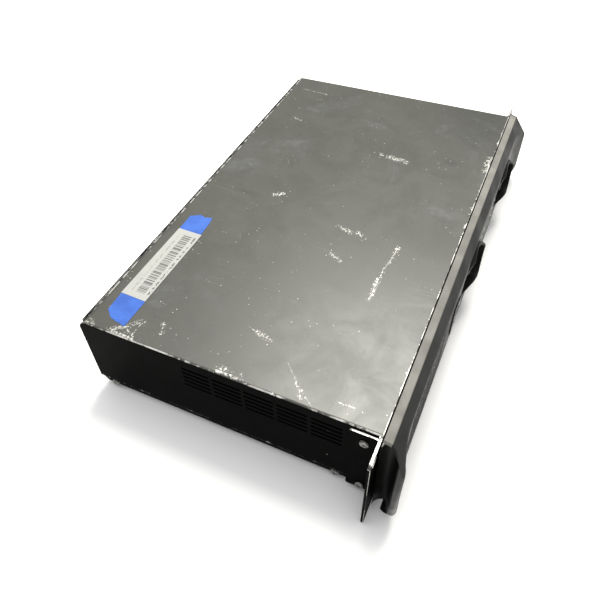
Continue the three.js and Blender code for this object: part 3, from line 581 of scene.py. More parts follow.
def point(axis, u, v, level):
    """A point from its level along an axis and its places on the two other axes in X, Y, Z order."""
    return {"x": (level, u, v), "y": (u, level, v), "z": (u, v, level)}[axis]


def ring_faces(rings, steps):
    """The faces between pairs of rings of points, each ring given by its number."""
    return [(a * steps + i, a * steps + (i + 1) % steps, b * steps + (i + 1) % steps, b * steps + i)
            for a, b in rings for i in range(steps)]


def ring_solid(name, vertices, steps):
    """A closed solid through rings of points, with a flat face at each end."""
    count = len(vertices)
    rings = [(k, k + 1) for k in range(count // steps - 1)]
    ends = [tuple(range(steps))[::-1], tuple(range(count - steps, count))]
    return mesh_object(name, vertices, ends + ring_faces(rings, steps))


def prism(name, outline, axis, start, end):
    """A flat outline pulled along an axis; its points are on the two other axes in X, Y, Z order."""
    vertices = [point(axis, u, v, level) for level in (start, end) for u, v in outline]
    return ring_solid(name, vertices, len(outline))


def block(name, low, high):
    (x0, y0, z0), (x1, y1, z1) = low, high
    return prism(name, [(x0, y0), (x1, y0), (x1, y1), (x0, y1)], "z", z0, z1)


def bar(name, x, z, half_x, half_z, y0, y1):
    """A square-edged bar that runs front to back around a point of the front view."""
    return block(name, (x - half_x, y0, z - half_z), (x + half_x, y1, z + half_z))


def lathe(name, profile, axis, centre, steps=48, carve=None):
    """A profile of (radius, height) points turned about an axis. It starts and ends on the axis or closes.
    What carve gives for a radius, a height and an angle is taken off the radius."""
    cu, cv, level = {"x": (1, 2, 0), "y": (0, 2, 1), "z": (0, 1, 2)}[axis]
    vertices = []
    for radius, height in profile:
        for i in range(steps):
            angle = 2 * math.pi * i / steps
            out = radius - (carve(radius, height, angle) if carve else 0)
            u, v = centre[cu] + out * math.cos(angle), centre[cv] + out * math.sin(angle)
            vertices.append(point(axis, u, v, centre[level] + height))
    last = len(profile) - 1
    rings = [(k, k + 1) for k in range(last)] + ([(last, 0)] if profile[0][0] > 0 else [])
    return mesh_object(name, vertices, ring_faces(rings, steps))


def drum(radius, axis, centre, start, end, steps=32):
    return lathe("drum", [(0, start), (radius, start), (radius, end), (0, end)], axis, centre, steps)


def rod(x, z, radius, y0, y1, steps=32):
    """A drum that runs front to back, as a piece or as the tool for a hole."""
    return drum(radius, "y", (x, 0, z), y0, y1, steps)


def turned(name, profile, x, z, steps=48, y=0):
    """A lathe about a line that runs front to back."""
    return lathe(name, profile, "y", (x, y, z), steps)


def merge(name, *pieces):
    """Several objects as one, without a boolean."""
    work = bmesh.new()
    for piece in pieces:
        work.from_mesh(piece.data)
        bpy.data.objects.remove(piece)
    mesh = bpy.data.meshes.new(name)
    work.to_mesh(mesh)
    work.free()
    return linked(name, mesh)


def modified(obj, kind, **settings):
    """Runs one modifier on the object's mesh."""
    modifier = obj.modifiers.new("change", kind)
    for key, value in settings.items():
        setattr(modifier, key, value)
    graph = bpy.context.evaluated_depsgraph_get()
    mesh = bpy.data.meshes.new_from_object(obj.evaluated_get(graph))
    obj.modifiers.clear()
    obj.data = mesh
    return obj


def boolean(operation, obj, tool):
    modified(obj, "BOOLEAN", operation=operation, solver="EXACT", object=tool)
    bpy.data.objects.remove(tool)


def cut(obj, *tools):
    """Takes the tools, merged into one, out of an object."""
    boolean("DIFFERENCE", obj, merge("tools", *tools))


def join(obj, *pieces):
    for piece in pieces:
        boolean("UNION", obj, piece)


def keep_inside(obj, outline, axis="x"):
    """Trims an object to an outline seen along an axis."""
    reach = 400
    boolean("INTERSECT", obj, prism("outline", outline, axis, -reach, reach))


def cleaned(obj):
    """Takes out the slivers that a boolean leaves."""
    size = 2e-6
    change_mesh(obj.data, lambda work: weld(work, size),
                lambda work: bmesh.ops.dissolve_degenerate(work, dist=size, edges=work.edges))
    return obj


def soften(obj, width, segments=2, angle=32):
    """Rounds the sharp edges, then shades smooth with flat faces kept flat."""
    modified(obj, "BEVEL", width=width * MM, segments=segments, limit_method="ANGLE",
             angle_limit=math.radians(angle), use_clamp_overlap=True)
    return shaded(obj)


def shaded(obj, angle=40):
    """Shades smooth across small turns, with the normals of large flat faces left square to them."""
    obj.data.shade_smooth()
    obj.data.set_sharp_from_angle(angle=math.radians(angle))
    return modified(obj, "WEIGHTED_NORMAL", mode="FACE_AREA", weight=60, keep_sharp=True)


def dress(obj, material, slot, *replaces, body="chassis"):
    """Gives a new piece its material and its place in the frame."""
    obj.data.materials.clear()
    obj.data.materials.append(material)
    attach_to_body(obj, body)
    if replaces:
        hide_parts(*replaces)


# ---------------------------------------------------------------- steelwork

def slot_outline(u0, u1, v, half, steps=6):
    """A slot with round ends between u0 and u1, around the height v."""
    return [*arc(u1 - half, v, half, -90, 90, steps), *arc(u0 + half, v, half, 90, 270, steps)]


VENTS = [(28.1 + group * 27, 76.3 - row * 5.2) for group in range(5) for row in range(5)]
EAR_SCREWS = [(11.6, 73.9), (11.6, 11.0)]
TRAY_SCREWS = [(33, 8.2), (242, 8.2)]
SCREW_HOLE = 2.1
BEND = 2.2
INNER_BEND = BEND - SHEET


def make_cover():
    """Folded lid: one sheet bent down at both sides, with rounded rear corners and vent slots."""
    corner = 9
    outer = [(HALF, COVER_EDGE), *arc(HALF - BEND, TOP - BEND, BEND, 0, 90)]
    inside = [*arc(HALF - BEND, TOP - BEND, INNER_BEND, 90, 0), (HALF - SHEET, COVER_EDGE)]
    cover = prism("cover_sheet", folded(outer, inside), "y", 0, BACK)
    keep_inside(cover, [(-1, 0), (BACK, 0), *arc(BACK - corner, TOP - corner, corner, 0, 90, 10), (-1, TOP)])
    walls = [(side * (HALF - 5), side * (HALF + 5)) for side in (-1, 1)]
    slots = [prism("slot", slot_outline(y, y + 24.6, z, 1.2), "x", *wall) for wall in walls for y, z in VENTS]
    holes = [drum(SCREW_HOLE, "x", (0, *EAR_SCREWS[0]), *wall) for wall in walls]
    cut(cover, *slots, *holes)
    soften(cleaned(cover), 0.22)
    dress(cover, LID_PAINT, "painted_steel", "top_cover")
    cover.data.materials.append(SIDE_PAINT)
    cover.data.materials.append(CHIPPED_EDGE)
    for face in cover.data.polygons:
        if face.normal.y > 0.3 and (face.center.y - FRONT) / MM > BACK - 10:
            face.material_index = 2
        elif abs(face.normal.x) > 0.8 or face.center.z / MM < TOP - 2.5:
            face.material_index = 1


def folded(outer, inside):
    """A closed section from the right halves of a sheet's outer and inner lines."""
    half = outer + [(-x, z) for x, z in outer[::-1]]
    return half + [(-x, z) for x, z in inside[::-1]] + inside


def make_tray():
    """Bottom pan: floor and two upturned sides, rounded at the lower rear corner."""
    edge, rim, back, corner = HALF - 1.8, FLOOR + 28, 255, 10
    outer = [(edge, rim), *arc(edge - BEND, FLOOR + BEND, BEND, 0, -90)]
    inside = [*arc(edge - BEND, FLOOR + BEND, INNER_BEND, -90, 0), (edge - SHEET, rim)]
    tray = prism("tray_sheet", folded(outer, inside), "y", 0, back)
    below = FLOOR - 1e-3
    keep_inside(tray, [(-1, below), (0, below), *arc(back - corner, FLOOR + corner, corner, -90, 0, 8),
                       (back, 90), (-1, 90)])
    holes = [drum(SCREW_HOLE, "x", (0, y, z), side * (HALF - 6), side * (HALF + 2))
             for side in (-1, 1) for y, z in [*TRAY_SCREWS, EAR_SCREWS[1]]]
    gap = block("behind_panel", (-(edge - 1.6), 252.6, -1), ((edge - 1.6), 262, 90))
    cut(tray, *holes)
    cut(tray, gap)
    soften(cleaned(tray), 0.2)
    dress(tray, TRAY_PAINT, "painted_steel", "bottom_tray")


FAN_X, FAN_Z = 70, 46
REAR_Y0, REAR_Y1 = 252.9, 254.4
XLR_X, OUTLET_X, INLET_X, BREAKER_X, MODE_X = (-172, -138), (-6, -42), 178, 136, -92
FAN_PITCH = 30.5
SOCKET_Z, TRS_Z, MIDDLE_Z = 60, 24, 46
FLANGE_SCREW = (-9.5, 12)
INLET_SCREW = 20
FAN_SCREWS = [(FAN_X + FAN_PITCH * i, FAN_Z + FAN_PITCH * k) for i in (-1, 1) for k in (-1, 1)]
FLANGE_SCREWS = [(x + s * FLANGE_SCREW[0], SOCKET_Z + s * FLANGE_SCREW[1])
                 for x in (*XLR_X, *OUTLET_X) for s in (-1, 1)]
INLET_SCREWS = [(INLET_X - INLET_SCREW, MIDDLE_Z), (INLET_X + INLET_SCREW, MIDDLE_Z)]


def make_rear_panel():
    """Flat plate with an opening for each connector and for the fan."""
    low, high = local_box("rear_panel")
    plate = block("rear_plate", (low[0], REAR_Y0, low[2]), (high[0], REAR_Y1, high[2]))
    through = (REAR_Y0 - 3, REAR_Y1 + 3)
    tools = [rod(FAN_X, FAN_Z, 32.5, *through, 64), rod(BREAKER_X, MIDDLE_Z, 6.3, *through, 40)]
    tools += [rod(x, SOCKET_Z, 12.3, *through, 40) for x in (*XLR_X, *OUTLET_X)]
    tools += [rod(x, TRS_Z, 5.2, *through, 40) for x in XLR_X]
    tools += [rod(x, z, 1.9, *through, 16) for x, z in (*FAN_SCREWS, *FLANGE_SCREWS, *INLET_SCREWS)]
    tools.append(bar("mouth", INLET_X, MIDDLE_Z, 14.3, 10.8, *through))
    tools.append(bar("mouth", MODE_X, MIDDLE_Z, 5.2, 3.4, *through))
    cut(plate, *tools)
    soften(cleaned(plate), 0.2)
    dress(plate, REAR_PAINT, "painted_steel", "rear_panel")


def make_ear(side, node):
    """Folded ear: a plate in the front plane with two rack slots, and a leg bent back along the side."""
    near, far = HALF + 0.3, 241.3
    leg, thick, bend = 23, 1.6, 1.6
    foot, plate_back = 0.9, 2.2
    inner = near + thick
    plan = [(near, leg), (near, 0.6), (near + 0.6, 0), (far, 0), (far, 2), (inner + bend, 2),
            *arc(inner + bend, 2 + bend, bend, -90, -180, 5), (inner, leg)]
    ear = prism("ear_plate", [(side * x, y) for x, y in plan], "z", foot, TOP)
    keep_inside(ear, [(-1, foot), (plate_back, foot), (plate_back, 6), *arc(21.5, 7.5, 1.5, -90, 0, 4),
                      *arc(21.5, 83.1, 1.5, 0, 90, 4), (plate_back, 84.6), (plate_back, TOP), (-1, TOP)])
    corner = 2.5
    front = [(near - 1, foot), *arc(far - corner, foot + corner, corner, -90, 0, 5),
             *arc(far - corner, TOP - corner, corner, 0, 90, 5), (near - 1, TOP)]
    keep_inside(ear, [(side * x, z) for x, z in front], "y")
    slot_x, slot_z, slot_pitch = side * 232.6, 44.45, 38.1
    slots = [prism("slot", slot_outline(slot_x - 5, slot_x + 5, slot_z + k * slot_pitch, 3.4, 12), "y", -3, 6)
             for k in (-1, 1)]
    holes = [drum(SCREW_HOLE, "x", (0, y, z), side * (HALF - 2), side * (HALF + 6), 20)
             for y, z in EAR_SCREWS]
    cut(ear, *slots, *holes)
    soften(cleaned(ear), 0.25)
    dress(ear, EAR_PAINT[side], "painted_steel", node)
    ear.data.materials.append(WORN_EDGE_AND_HIGHLIGHT)
    # Bare steel colour along the top of the leg, as wear, and on the upper part of the plate's outer edge, as
    # a painted highlight.
    for face in ear.data.polygons:
        x, z = face.center.x / MM, face.center.z / MM
        on_leg_top = face.normal.z > 0.3 and z > 30
        highlight_on_outer_edge = face.normal.x * side > 0.3 and abs(x) > far - 0.5 and z > 70
        if on_leg_top or highlight_on_outer_edge:
            face.material_index = 1


# ---------------------------------------------------------------- front moulding

FACE = 13.8
BEZEL_LOW, FINGER_WALL, STRAIGHT = 2.5, 218, 190.0
KNOBS = (8, 146)
KNOB_Z = 54
SWELL = 21.1
BAY_RADIUS, BAY_WALL, BAY_FLOOR = 18.0, 2.5, 6.2
RAMP_X, RAMP_RADIUS = -31, 12
LAMP_X = (-39, 46, 94)
LAMPS = [(LAMP_X[0], 40), (LAMP_X[0], 52)] + [(x, z) for x in LAMP_X[1:] for z in (34, 44, 54, 64)]
ROCKER = (-55, -8.5, 46)


def smooth_step(low, high, value):
    """0 below low, 1 above high and an S-shaped rise between them."""
    t = min(1, max(0, (value - low) / (high - low)))
    return t * t * (3 - 2 * t)


def soft_min(a, b, k):
    """The smaller of two values, blended where they are within k of each other."""
    h = max(0, k - abs(a - b)) / k
    return min(a, b) - h * h * k / 4


def soft_max(a, b, k):
    return -soft_min(-a, -b, k)


def curve(points, steps):
    """Points on a quadratic or cubic curve, without its first point."""
    result = []
    for i in range(1, steps + 1):
        level, t = list(points), i / steps
        while len(level) > 1:
            level = [tuple(a + (b - a) * t for a, b in zip(p, q)) for p, q in zip(level, level[1:])]
        result.append(level[0])
    return result


def face_columns():
    """Places across the straight face, closer together around the two bays."""
    xs, x = [], STRAIGHT
    while x > -STRAIGHT:
        xs.append(x)
        near = any(-46 < x - knob < 25 for knob in KNOBS)
        sharp = any(12 < x - knob < 25 for knob in KNOBS)
        x -= 0.6 if sharp else 1.1 if near else 4.0
    return xs


def bezel_plan():
    """The moulding seen from above, as (x, reach): a straight face whose ends swell into grips."""
    nose = [(226, 1.2)]
    nose += curve([nose[-1], (219.5, 1.4), (FINGER_WALL, 7)], 8)
    nose += curve([nose[-1], (217.8, 12.6), (228, 13.6)], 9)
    nose += curve([nose[-1], (237.3, 14.2), (237.2, 17.4)], 7)
    nose += curve([nose[-1], (236.6, 20.8), (232, 20.7)], 6)
    nose += curve([nose[-1], (219, 20.6), (208, FACE), (192, FACE)], 16)
    return nose + [(x, FACE) for x in face_columns()] + [(-x, y) for x, y in nose[::-1]]


def reach_limit(z):
    """How far forward the side profile lets the moulding come at one height."""
    lip, lip_slope, lean, underside_slope = 1.5, 4.2, 0.579, 0.9
    if z > TOP - lip:
        return 1.2 + (TOP - z) * lip_slope
    top = 7.5 + (TOP - lip - z) * lean
    low = 8.6 + (z - BEZEL_LOW) * underside_slope
    return soft_min(top, low, 3.0) if z < 60 else top


def grip_share(z):
    """1 where the grips stand fully proud, 0 where they have died away."""
    table = [(2.5, 0.40), (8, 0.62), (18, 0.86), (34, 1.0), (44, 0.93), (54, 0.78), (64, 0.55), (74, 0.30),
             (82, 0.16), (88, 0.10)]
    for (z0, k0), (z1, k1) in zip(table, table[1:]):
        if z <= z1:
            return k0 + (k1 - k0) * (z - z0) / (z1 - z0)
    return table[-1][1]


def swell_reach(dx, dz, z):
    """How far the face comes forward beside one knob bay: slowly on the low side, sharply past the bay."""
    middle, wall_slope, droop = 1.5, 4.0, 0.9
    share = min(1, max(0, (middle - dx) / (middle - RAMP_X)))
    outline = BAY_RADIUS + BAY_WALL + (RAMP_RADIUS - BAY_RADIUS) * share
    inside = outline - math.hypot(dx - middle - (RAMP_X - middle) * share, dz)
    if inside < -2:
        return 0
    rise = FACE + (SWELL - FACE) * smooth_step(-37, 5, dx) - droop * max(0, (dx - 2) / 16) ** 2
    reach = soft_min(rise, FACE + inside * wall_slope, 1.4)
    return soft_min(reach, reach_limit(z), 0.7) if z > KNOB_Z else reach


def with_swells(x, z, reach):
    """The reach of the face at one place, with the two swellings around the knob bays added."""
    for knob in KNOBS:
        if -46 < x - knob < 26:
            reach = soft_max(reach, swell_reach(x - knob, z - KNOB_Z, z), 0.5)
    return reach


def bezel_rows():
    """Heights of the moulding's rows of points, closer together around the bays and the top edge."""
    rows, z = [], BEZEL_LOW
    while z < TOP - 0.2:
        rows.append(z)
        z += 0.5 if z > 84 else 0.75 if 30 < z else 1.5
    return [*rows, TOP]


def moulding_skin():
    """The solid outside of the moulding: its plan, reshaped at every height."""
    plan = bezel_plan()
    vertices = []
    for z in bezel_rows():
        share, limit = grip_share(z), reach_limit(z)
        attach = min(7.0, limit - 0.4)
        low_end = 0.5 * (1 - smooth_step(BEZEL_LOW - 4, 20, z))
        for x, reach in plan:
            side = math.copysign(1, x)
            out = abs(x)
            clamped = soft_min(reach, limit, 0.8) if reach > 5 else min(reach, limit)
            if reach > attach:
                clamped += (attach - clamped) * smooth_step(194, FINGER_WALL, out) * low_end
            if out > FINGER_WALL and reach > 7:
                out = FINGER_WALL + (out - FINGER_WALL) * share
            if out < STRAIGHT:
                clamped = with_swells(x, z, clamped)
            vertices.append((side * out, -clamped, z))
    return ring_solid("front_moulding", vertices, len(plan))


def make_bezel():
    """Front moulding: hollow behind, with two bays, a grille, a switch window and holes for the lamps."""
    bezel = moulding_skin()
    wall, front, deep = 2.8, -30, 5
    back = wall - FACE
    hollow = [(deep, 5.3), (back, 12), (back, 70), (-5, TOP - 4.4), (deep, TOP - 4.4)]
    cut(bezel, prism("hollow", hollow, "x", wall - FINGER_WALL, FINGER_WALL - wall))
    join(bezel, *[bay_lining(x) for x in KNOBS])
    for x in KNOBS:
        cut(bezel, bay_scoop(x))
    grille = [prism("slot", slanted_slot(-192 + i * 8.4), "y", front, -8) for i in range(12)]
    window = bar("window", ROCKER[0], ROCKER[2], 9.4, 13.9, front, deep)
    lamps = [rod(x, z, 1.9, front, deep, 20) for x, z in LAMPS]
    shafts = [rod(x, KNOB_Z, 4.7, front, deep) for x in KNOBS]
    cut(bezel, *grille, window, *lamps, *shafts)
    soften(cleaned(bezel), 0.3, 2, 48)
    dress(bezel, MOULDING, "moulding", "front_bezel")
    # Lighter, shinier plastic on the outward faces of the grip rims: a painted highlight.
    bezel.data.materials.append(RIM_PAINTED_HIGHLIGHT)
    rim_x, rim_reach = 205, 14.5
    for face in bezel.data.polygons:
        outward = face.normal.x * math.copysign(1, face.center.x)
        reach = (FRONT - face.center.y) / MM
        if abs(face.center.x) / MM > rim_x and reach > rim_reach and outward > 0.4:
            face.material_index = 1


def ring_points(x, radius, *reaches):
    """Rings of points around a line that runs forwards from the height of the knobs."""
    steps = 72
    return [(x + u, -reach, KNOB_Z + v) for reach in reaches
            for u, v in arc(0, 0, radius, 0, 360 - 360 / steps, steps - 1)]


def hull(name, points):
    """The convex solid around a set of points."""
    def wrap(work):
        found = bmesh.ops.convex_hull(work, input=work.verts)
        inner = list({v for v in found["geom_interior"] if v.is_valid})
        bmesh.ops.delete(work, geom=inner, context="VERTS")

    made = mesh_object(name, points, [])
    change_mesh(made.data, wrap, turn_outwards)
    return made


def bay_scoop(x):
    """A round pocket with a ramp that runs up to the face on its low side."""
    return hull("scoop", ring_points(x, BAY_RADIUS, BAY_FLOOR, 30)
                + ring_points(x + RAMP_X, RAMP_RADIUS, FACE + 0.3, 30))


def bay_lining(x):
    """The wall of a bay: the shape of the pocket and its ramp, one wall thickness larger."""
    skin = FACE - 0.4
    return hull("lining", ring_points(x, BAY_RADIUS + BAY_WALL, BAY_FLOOR - BAY_WALL, skin)
                + ring_points(x + RAMP_X, RAMP_RADIUS + BAY_WALL, FACE - BAY_WALL, skin))


def slanted_slot(x):
    """A tall narrow slot that leans to the right and has round ends."""
    width, lean, low, high = 4.6, 6, 18, 74

    def at(t, share):
        return (x + width * share + lean * t, low + (high - low) * t)

    ends = [(0.03, 0), (0, 0.25), (0, 0.75), (0.03, 1)]
    return [at(t, share) for t, share in ends] + [at(1 - t, share) for t, share in ends[::-1]]


def make_knob(index, x):
    """Push-on knob: fluted skirt, dished face with a raised rim, and a groove with a pale pointer."""
    front, length, flutes, flute_depth = 14.2, 7.3, 24, 0.55

    def flute(radius, depth, angle):
        on_skirt = 12.5 <= radius < 13.5 and depth < length - 2.5
        return max(0, math.cos(angle * flutes)) ** 2 * flute_depth if on_skirt else 0

    profile = [(0, 0.5), (9.6, 0.5), (10.4, 0.25), (11.0, 0), (11.7, 0.15), (12.5, 0.8), (12.9, 1.8),
               (13.1, 2.8), (13.2, length - 2.8), (13.5, length - 2.3), (13.5, length - 0.3), (13.2, length),
               (0, length)]
    knob = lathe(f"knob_skirt_{index}", profile, "y", (x, -front, KNOB_Z), 8 * flutes, flute)
    cut(knob, rod(x, KNOB_Z, 3.0, -10.2, 0, 24))
    cut(knob, prism("groove", slot_upright(x, KNOB_Z + 3, KNOB_Z + 12.4, 0.75), "y", -24, -front + 1.1))
    body = f"level_{index}"
    dress(shaded(cleaned(knob), 32), KNOB_PLASTIC, "control_plastic", f"level_knob_{index}", body=body)
    pointer = slot_upright(x, KNOB_Z + 3.2, KNOB_Z + 12.0, 0.6)
    line = prism(f"knob_pointer_{index}", pointer, "y", -front + 0.65, -front + 1.3)
    dress(soften(line, 0.12), POINTER, "control_plastic", body=body)


def slot_upright(x, z0, z1, half):
    """A slot with round ends that stands upright between z0 and z1."""
    return [*arc(x, z1 - half, half, 0, 180), *arc(x, z0 + half, half, 180, 360)]


def make_shaft(index, x):
    shaft = rod(x, KNOB_Z, 2.6, -9.9, 3.4, 24)
    shaft.name = f"shaft_{index}"
    dress(soften(shaft, 0.2), SHAFT, "steel_shaft", f"level_shaft_{index}", body=f"level_{index}")


def make_rocker():
    """Switch frame with a round well, and the dished rocker that tilts in it."""
    x, pivot, z = ROCKER
    switch = bar("switch_frame", x, z, 10.6, 15.4, -15.2, -14.1)
    tabs = [bar("tab", x + dx, z, 0.4, 3, 14, 22) for dx in (-5, 5)]
    join(switch, bar("switch_core", x, z, 9, 13.5, -14.3, 15), *tabs)
    cut(switch, drum(11.5, "x", (0, pivot, z), x - 6.6, x + 6.6, 48))
    dress(soften(cleaned(switch), 0.35, 3), GLOSS_PLASTIC, "control_plastic", "power_switch_body")
    rest, low_end, high_end = (-7.0, -0.6), (-5.2, -8.1), (-7.35, 7.8)
    outline = [rest, *curve([rest, (-5.6, -4.6), low_end], 7), (-4.4, -8.3), (0, -7.6), (5, -3),
               (5, 3), (0, 7.6), (-6.8, 8.2), high_end, *curve([high_end, (-6.5, 3.4), rest], 7)[:-1]]
    rocker = prism("rocker_cap", [(pivot + y, z + dz) for y, dz in outline], "x", x - 6.2, x + 6.2)
    dress(soften(rocker, 0.4, 3, 30), GLOSS_PLASTIC, "control_plastic", "power_rocker", body="rocker")


def make_light_pipes():
    """Clear rods with domed ends, moulded in one piece on a thin runner."""
    profile = [(0, -14.5), (0.5, -14.42), (1.0, -14.2), (1.4, -13.8), (1.4, 9.8), (0, 9.8)]
    rods = [turned("rod", profile, x, z, 20) for x, z in LAMPS]
    stems = [block("stem", (x - 1, -4, 26), (x + 1, -2.6, 64 if i else 52)) for i, x in enumerate(LAMP_X)]
    runner = block("runner", (LAMP_X[0] - 1, -4, 24), (LAMP_X[2] + 1, -2.6, 27))
    pipes = merge("lamp_lenses", *rods, *stems, runner)
    dress(shaded(pipes, 35), LENS, "lens", "light_pipes")


def make_filter():
    """Sheet of foam behind the grille."""
    low, high = local_box("dust_filter")
    foam = block("foam_sheet", low, high)
    dress(soften(foam, 0.8, 3), FOAM, "foam", "dust_filter")


# ---------------------------------------------------------------- rear connectors and fan

def guard_bar(a, b, radius, y):
    """A round wire between two points of the guard's plane."""
    (x0, z0), (x1, z1) = a, b
    length, steps = math.hypot(x1 - x0, z1 - z0), 12
    along = ((x1 - x0) / length, (z1 - z0) / length)
    vertices = []
    for x, z in (a, b):
        for off, lift in arc(0, 0, radius, 0, 330, steps - 1):
            vertices.append((x - along[1] * off, y + lift, z + along[0] * off))
    return ring_solid("bar", vertices, steps)


def make_guard():
    """Finger guard: round-wire rings on four spokes, each spoke screwed down through a lug."""
    y, wire = REAR_Y1 + 0.3, 0.85
    wires = []
    for radius in (8, 15.5, 23, 30.2):
        section = [(radius + u, y + 2.3 + v) for u, v in arc(0, 0, wire, 0, 324, 9)]
        wires.append(turned("ring", section, FAN_X, FAN_Z, 72))
    lug = [(4.2, 0), (4.2, 1.2), (3.9, 1.5), (2.0, 1.5), (1.9, 0)]
    diagonal = 43.13
    for x, z in FAN_SCREWS:
        dx, dz = (x - FAN_X) / diagonal, (z - FAN_Z) / diagonal
        start, end = (FAN_X + dx * 5, FAN_Z + dz * 5), (x - dx * 3.4, z - dz * 3.4)
        wires.append(guard_bar(start, end, 0.8, y + wire))
        wires.append(turned("lug", lug, x, z, 32, y))
    guard = merge("wire_guard", *wires)
    dress(shaded(guard, 50), GUARD_STEEL, "zinc_sheet", "fan_guard")


def make_fan():
    """Square housing with a round duct, and a motor seat on three struts."""
    low, high = local_box("fan_frame")
    y0, y1, seat = low[1], high[1], low[1] + 3
    body = rounded_plate("fan_housing", FAN_X, FAN_Z, 35, 35, 4, y0, y1)
    duct = rod(FAN_X, FAN_Z, 32.2, y0 - 2, y1 + 2, 72)
    cut(body, duct, *[rod(x, z, 2, y0 - 2, y1 + 2, 16) for x, z in FAN_SCREWS])
    motor = [(0, y0), (11.6, y0), (12, y0 + 0.4), (12, seat), (0, seat)]
    inner = [turned("motor_seat", motor, FAN_X, FAN_Z, 40), rod(FAN_X, FAN_Z, 1.6, y0, y1 - 6, 16)]
    for i in range(3):
        angle = math.pi / 2 + i * 2 * math.pi / 3
        dx, dz = math.cos(angle), math.sin(angle)
        strut = [(FAN_X + dx * r - dz * s, FAN_Z + dz * r + dx * s)
                 for r, s in ((9, -2), (33.5, -2), (33.5, 2), (9, 2))]
        inner.append(prism("strut", strut, "y", y0, seat))
    soften(cleaned(body), 0.5, 3)
    whole = merge("fan_housing", body, *inner)
    dress(shaded(whole), FAN_PLASTIC, "control_plastic", "fan_frame")
    make_rotor(y0)


def make_rotor(y0):
    """Seven curved, twisted blades on a cup-shaped hub with a plain round sticker."""
    cup = [(1.9, 3.4), (12.6, 3.4), (13, 3.8), (13, 15.6), (12.4, 16.6), (11.2, 17), (0, 17), (0, 15),
           (1.9, 15)]
    hub = turned("rotor_hub", cup, FAN_X, FAN_Z, 56, y0)
    rotor = merge("fan_impeller", hub, *[rotor_blade(i, y0) for i in range(7)])
    dress(shaded(rotor), FAN_PLASTIC, "control_plastic", "fan_rotor", body="rotor")
    disc = [(0, 17.02), (9.2, 17.02), (9.3, 17.1), (9.2, 17.18), (0, 17.18)]
    sticker = turned("hub_sticker", disc, FAN_X, FAN_Z, 48, y0)
    dress(shaded(sticker, 30), HUB_FOIL, "paper_label", body="rotor")


def rotor_blade(index, y0):
    """One blade as a closed grid with two sides, thick in the middle and thin at both edges."""
    across, along = 8, 8
    root, tip, middle = 12, 30.6, y0 + 10.2
    grid = {}
    vertices, faces = [], []
    for s in (0, 1):
        for i in range(along + 1):
            share = i / along
            radius = root + (tip - root) * share
            spread, tilt = 0.42 - 0.03 * share, 5.2 - 1.4 * share
            for j in range(across + 1):
                t = j / across * 2 - 1
                angle = index * 2 * math.pi / 7 + t * spread + 0.10 * share ** 2
                half_thick = 0.55 * (1 - 0.7 * abs(t) ** 3)
                y = middle + t * tilt + 0.9 * (1 - t * t) + (half_thick if s else -half_thick)
                grid[s, i, j] = len(vertices)
                vertices.append((FAN_X + radius * math.cos(angle), y, FAN_Z + radius * math.sin(angle)))

    def face(*corners):
        faces.append(tuple(grid[corner] for corner in corners))

    for i in range(along):
        for j in range(across):
            for s in (0, 1):
                face((s, i, j), (s, i + 1, j), (s, i + 1, j + 1), (s, i, j + 1))
        for j in (0, across):
            face((0, i, j), (0, i + 1, j), (1, i + 1, j), (1, i, j))
    for j in range(across):
        for i in (0, along):
            face((0, i, j), (0, i, j + 1), (1, i, j + 1), (1, i, j))
    return mesh_object("blade", vertices, faces)


FLANGE_Y0, FLANGE_Y1 = REAR_Y1 + 0.3, REAR_Y1 + 2.3


THROUGH = (250, 262)
HEX = [math.pi * k / 3 for k in range(6)]


def rounded_plate(name, x, z, half_x, half_z, corner, y0, y1):
    """A plate across the view from the front, with round corners."""
    outline = [p for cx, cz, a in ((1, 1, 0), (-1, 1, 90), (-1, -1, 180), (1, -1, 270))
               for p in arc(x + cx * (half_x - corner), z + cz * (half_z - corner), corner, a, a + 90)]
    return prism(name, outline, "y", y0, y1)


def round_socket(x, back, floor, lip):
    """The flange and the shell of a round connector, whose lip stands around a deep opening."""
    plate = rounded_plate("plate", x, SOCKET_Z, 13, 15.5, 2.2, FLANGE_Y0, FLANGE_Y1)
    dx, dz = FLANGE_SCREW
    cut(plate, *[rod(x + s * dx, SOCKET_Z + s * dz, 1.9, *THROUGH, 20) for s in (-1, 1)])
    soften(cleaned(plate), 0.35, 3)
    cut(plate, rod(x, SOCKET_Z, 10.8, *THROUGH, 48))
    y1 = FLANGE_Y1 + 1
    profile = [(0, back), (11.4, back), (11.9, back + 0.6), (11.9, y1 - 0.5), (11.5, y1), (lip + 0.5, y1),
               (lip, y1 - 0.5), (lip, floor), (0, floor)]
    return plate, turned("shell", profile, x, SOCKET_Z, 56)


def make_xlr(index, x):
    """Input socket with three holes in its core and a release tab in a slot of its shell."""
    plate, shell = round_socket(x, 226, 238, 9.2)
    cut(shell, block("latch_slot", (x - 3.6, 244.6, 68.4), (x + 3.6, 270, 71.8)))
    core = turned("core", [(0, 237), (7.6, 237), (7.6, 254.6), (7.3, 255), (0, 255)], x, SOCKET_Z)
    cut(core, *[rod(x + dx, SOCKET_Z + dz, 1.5, 240, 262, 16)
                for dx, dz in ((-3.4, 1.8), (3.4, 1.8), (0, -3.6))])
    jack = merge(f"xlr_socket_{index}", shaded(shell, 35), shaded(core, 35), plate)
    dress(jack, CONNECTOR, "control_plastic", f"xlr_jack_{index}")
    latch = block(f"release_tab_{index}", (x - 3.2, 248, 69.2), (x + 3.2, FLANGE_Y1 + 3.4, 71.4))
    dress(soften(latch, 0.5, 3), NICKEL, "zinc_sheet", f"xlr_latch_{index}", body=f"latch_{index}")


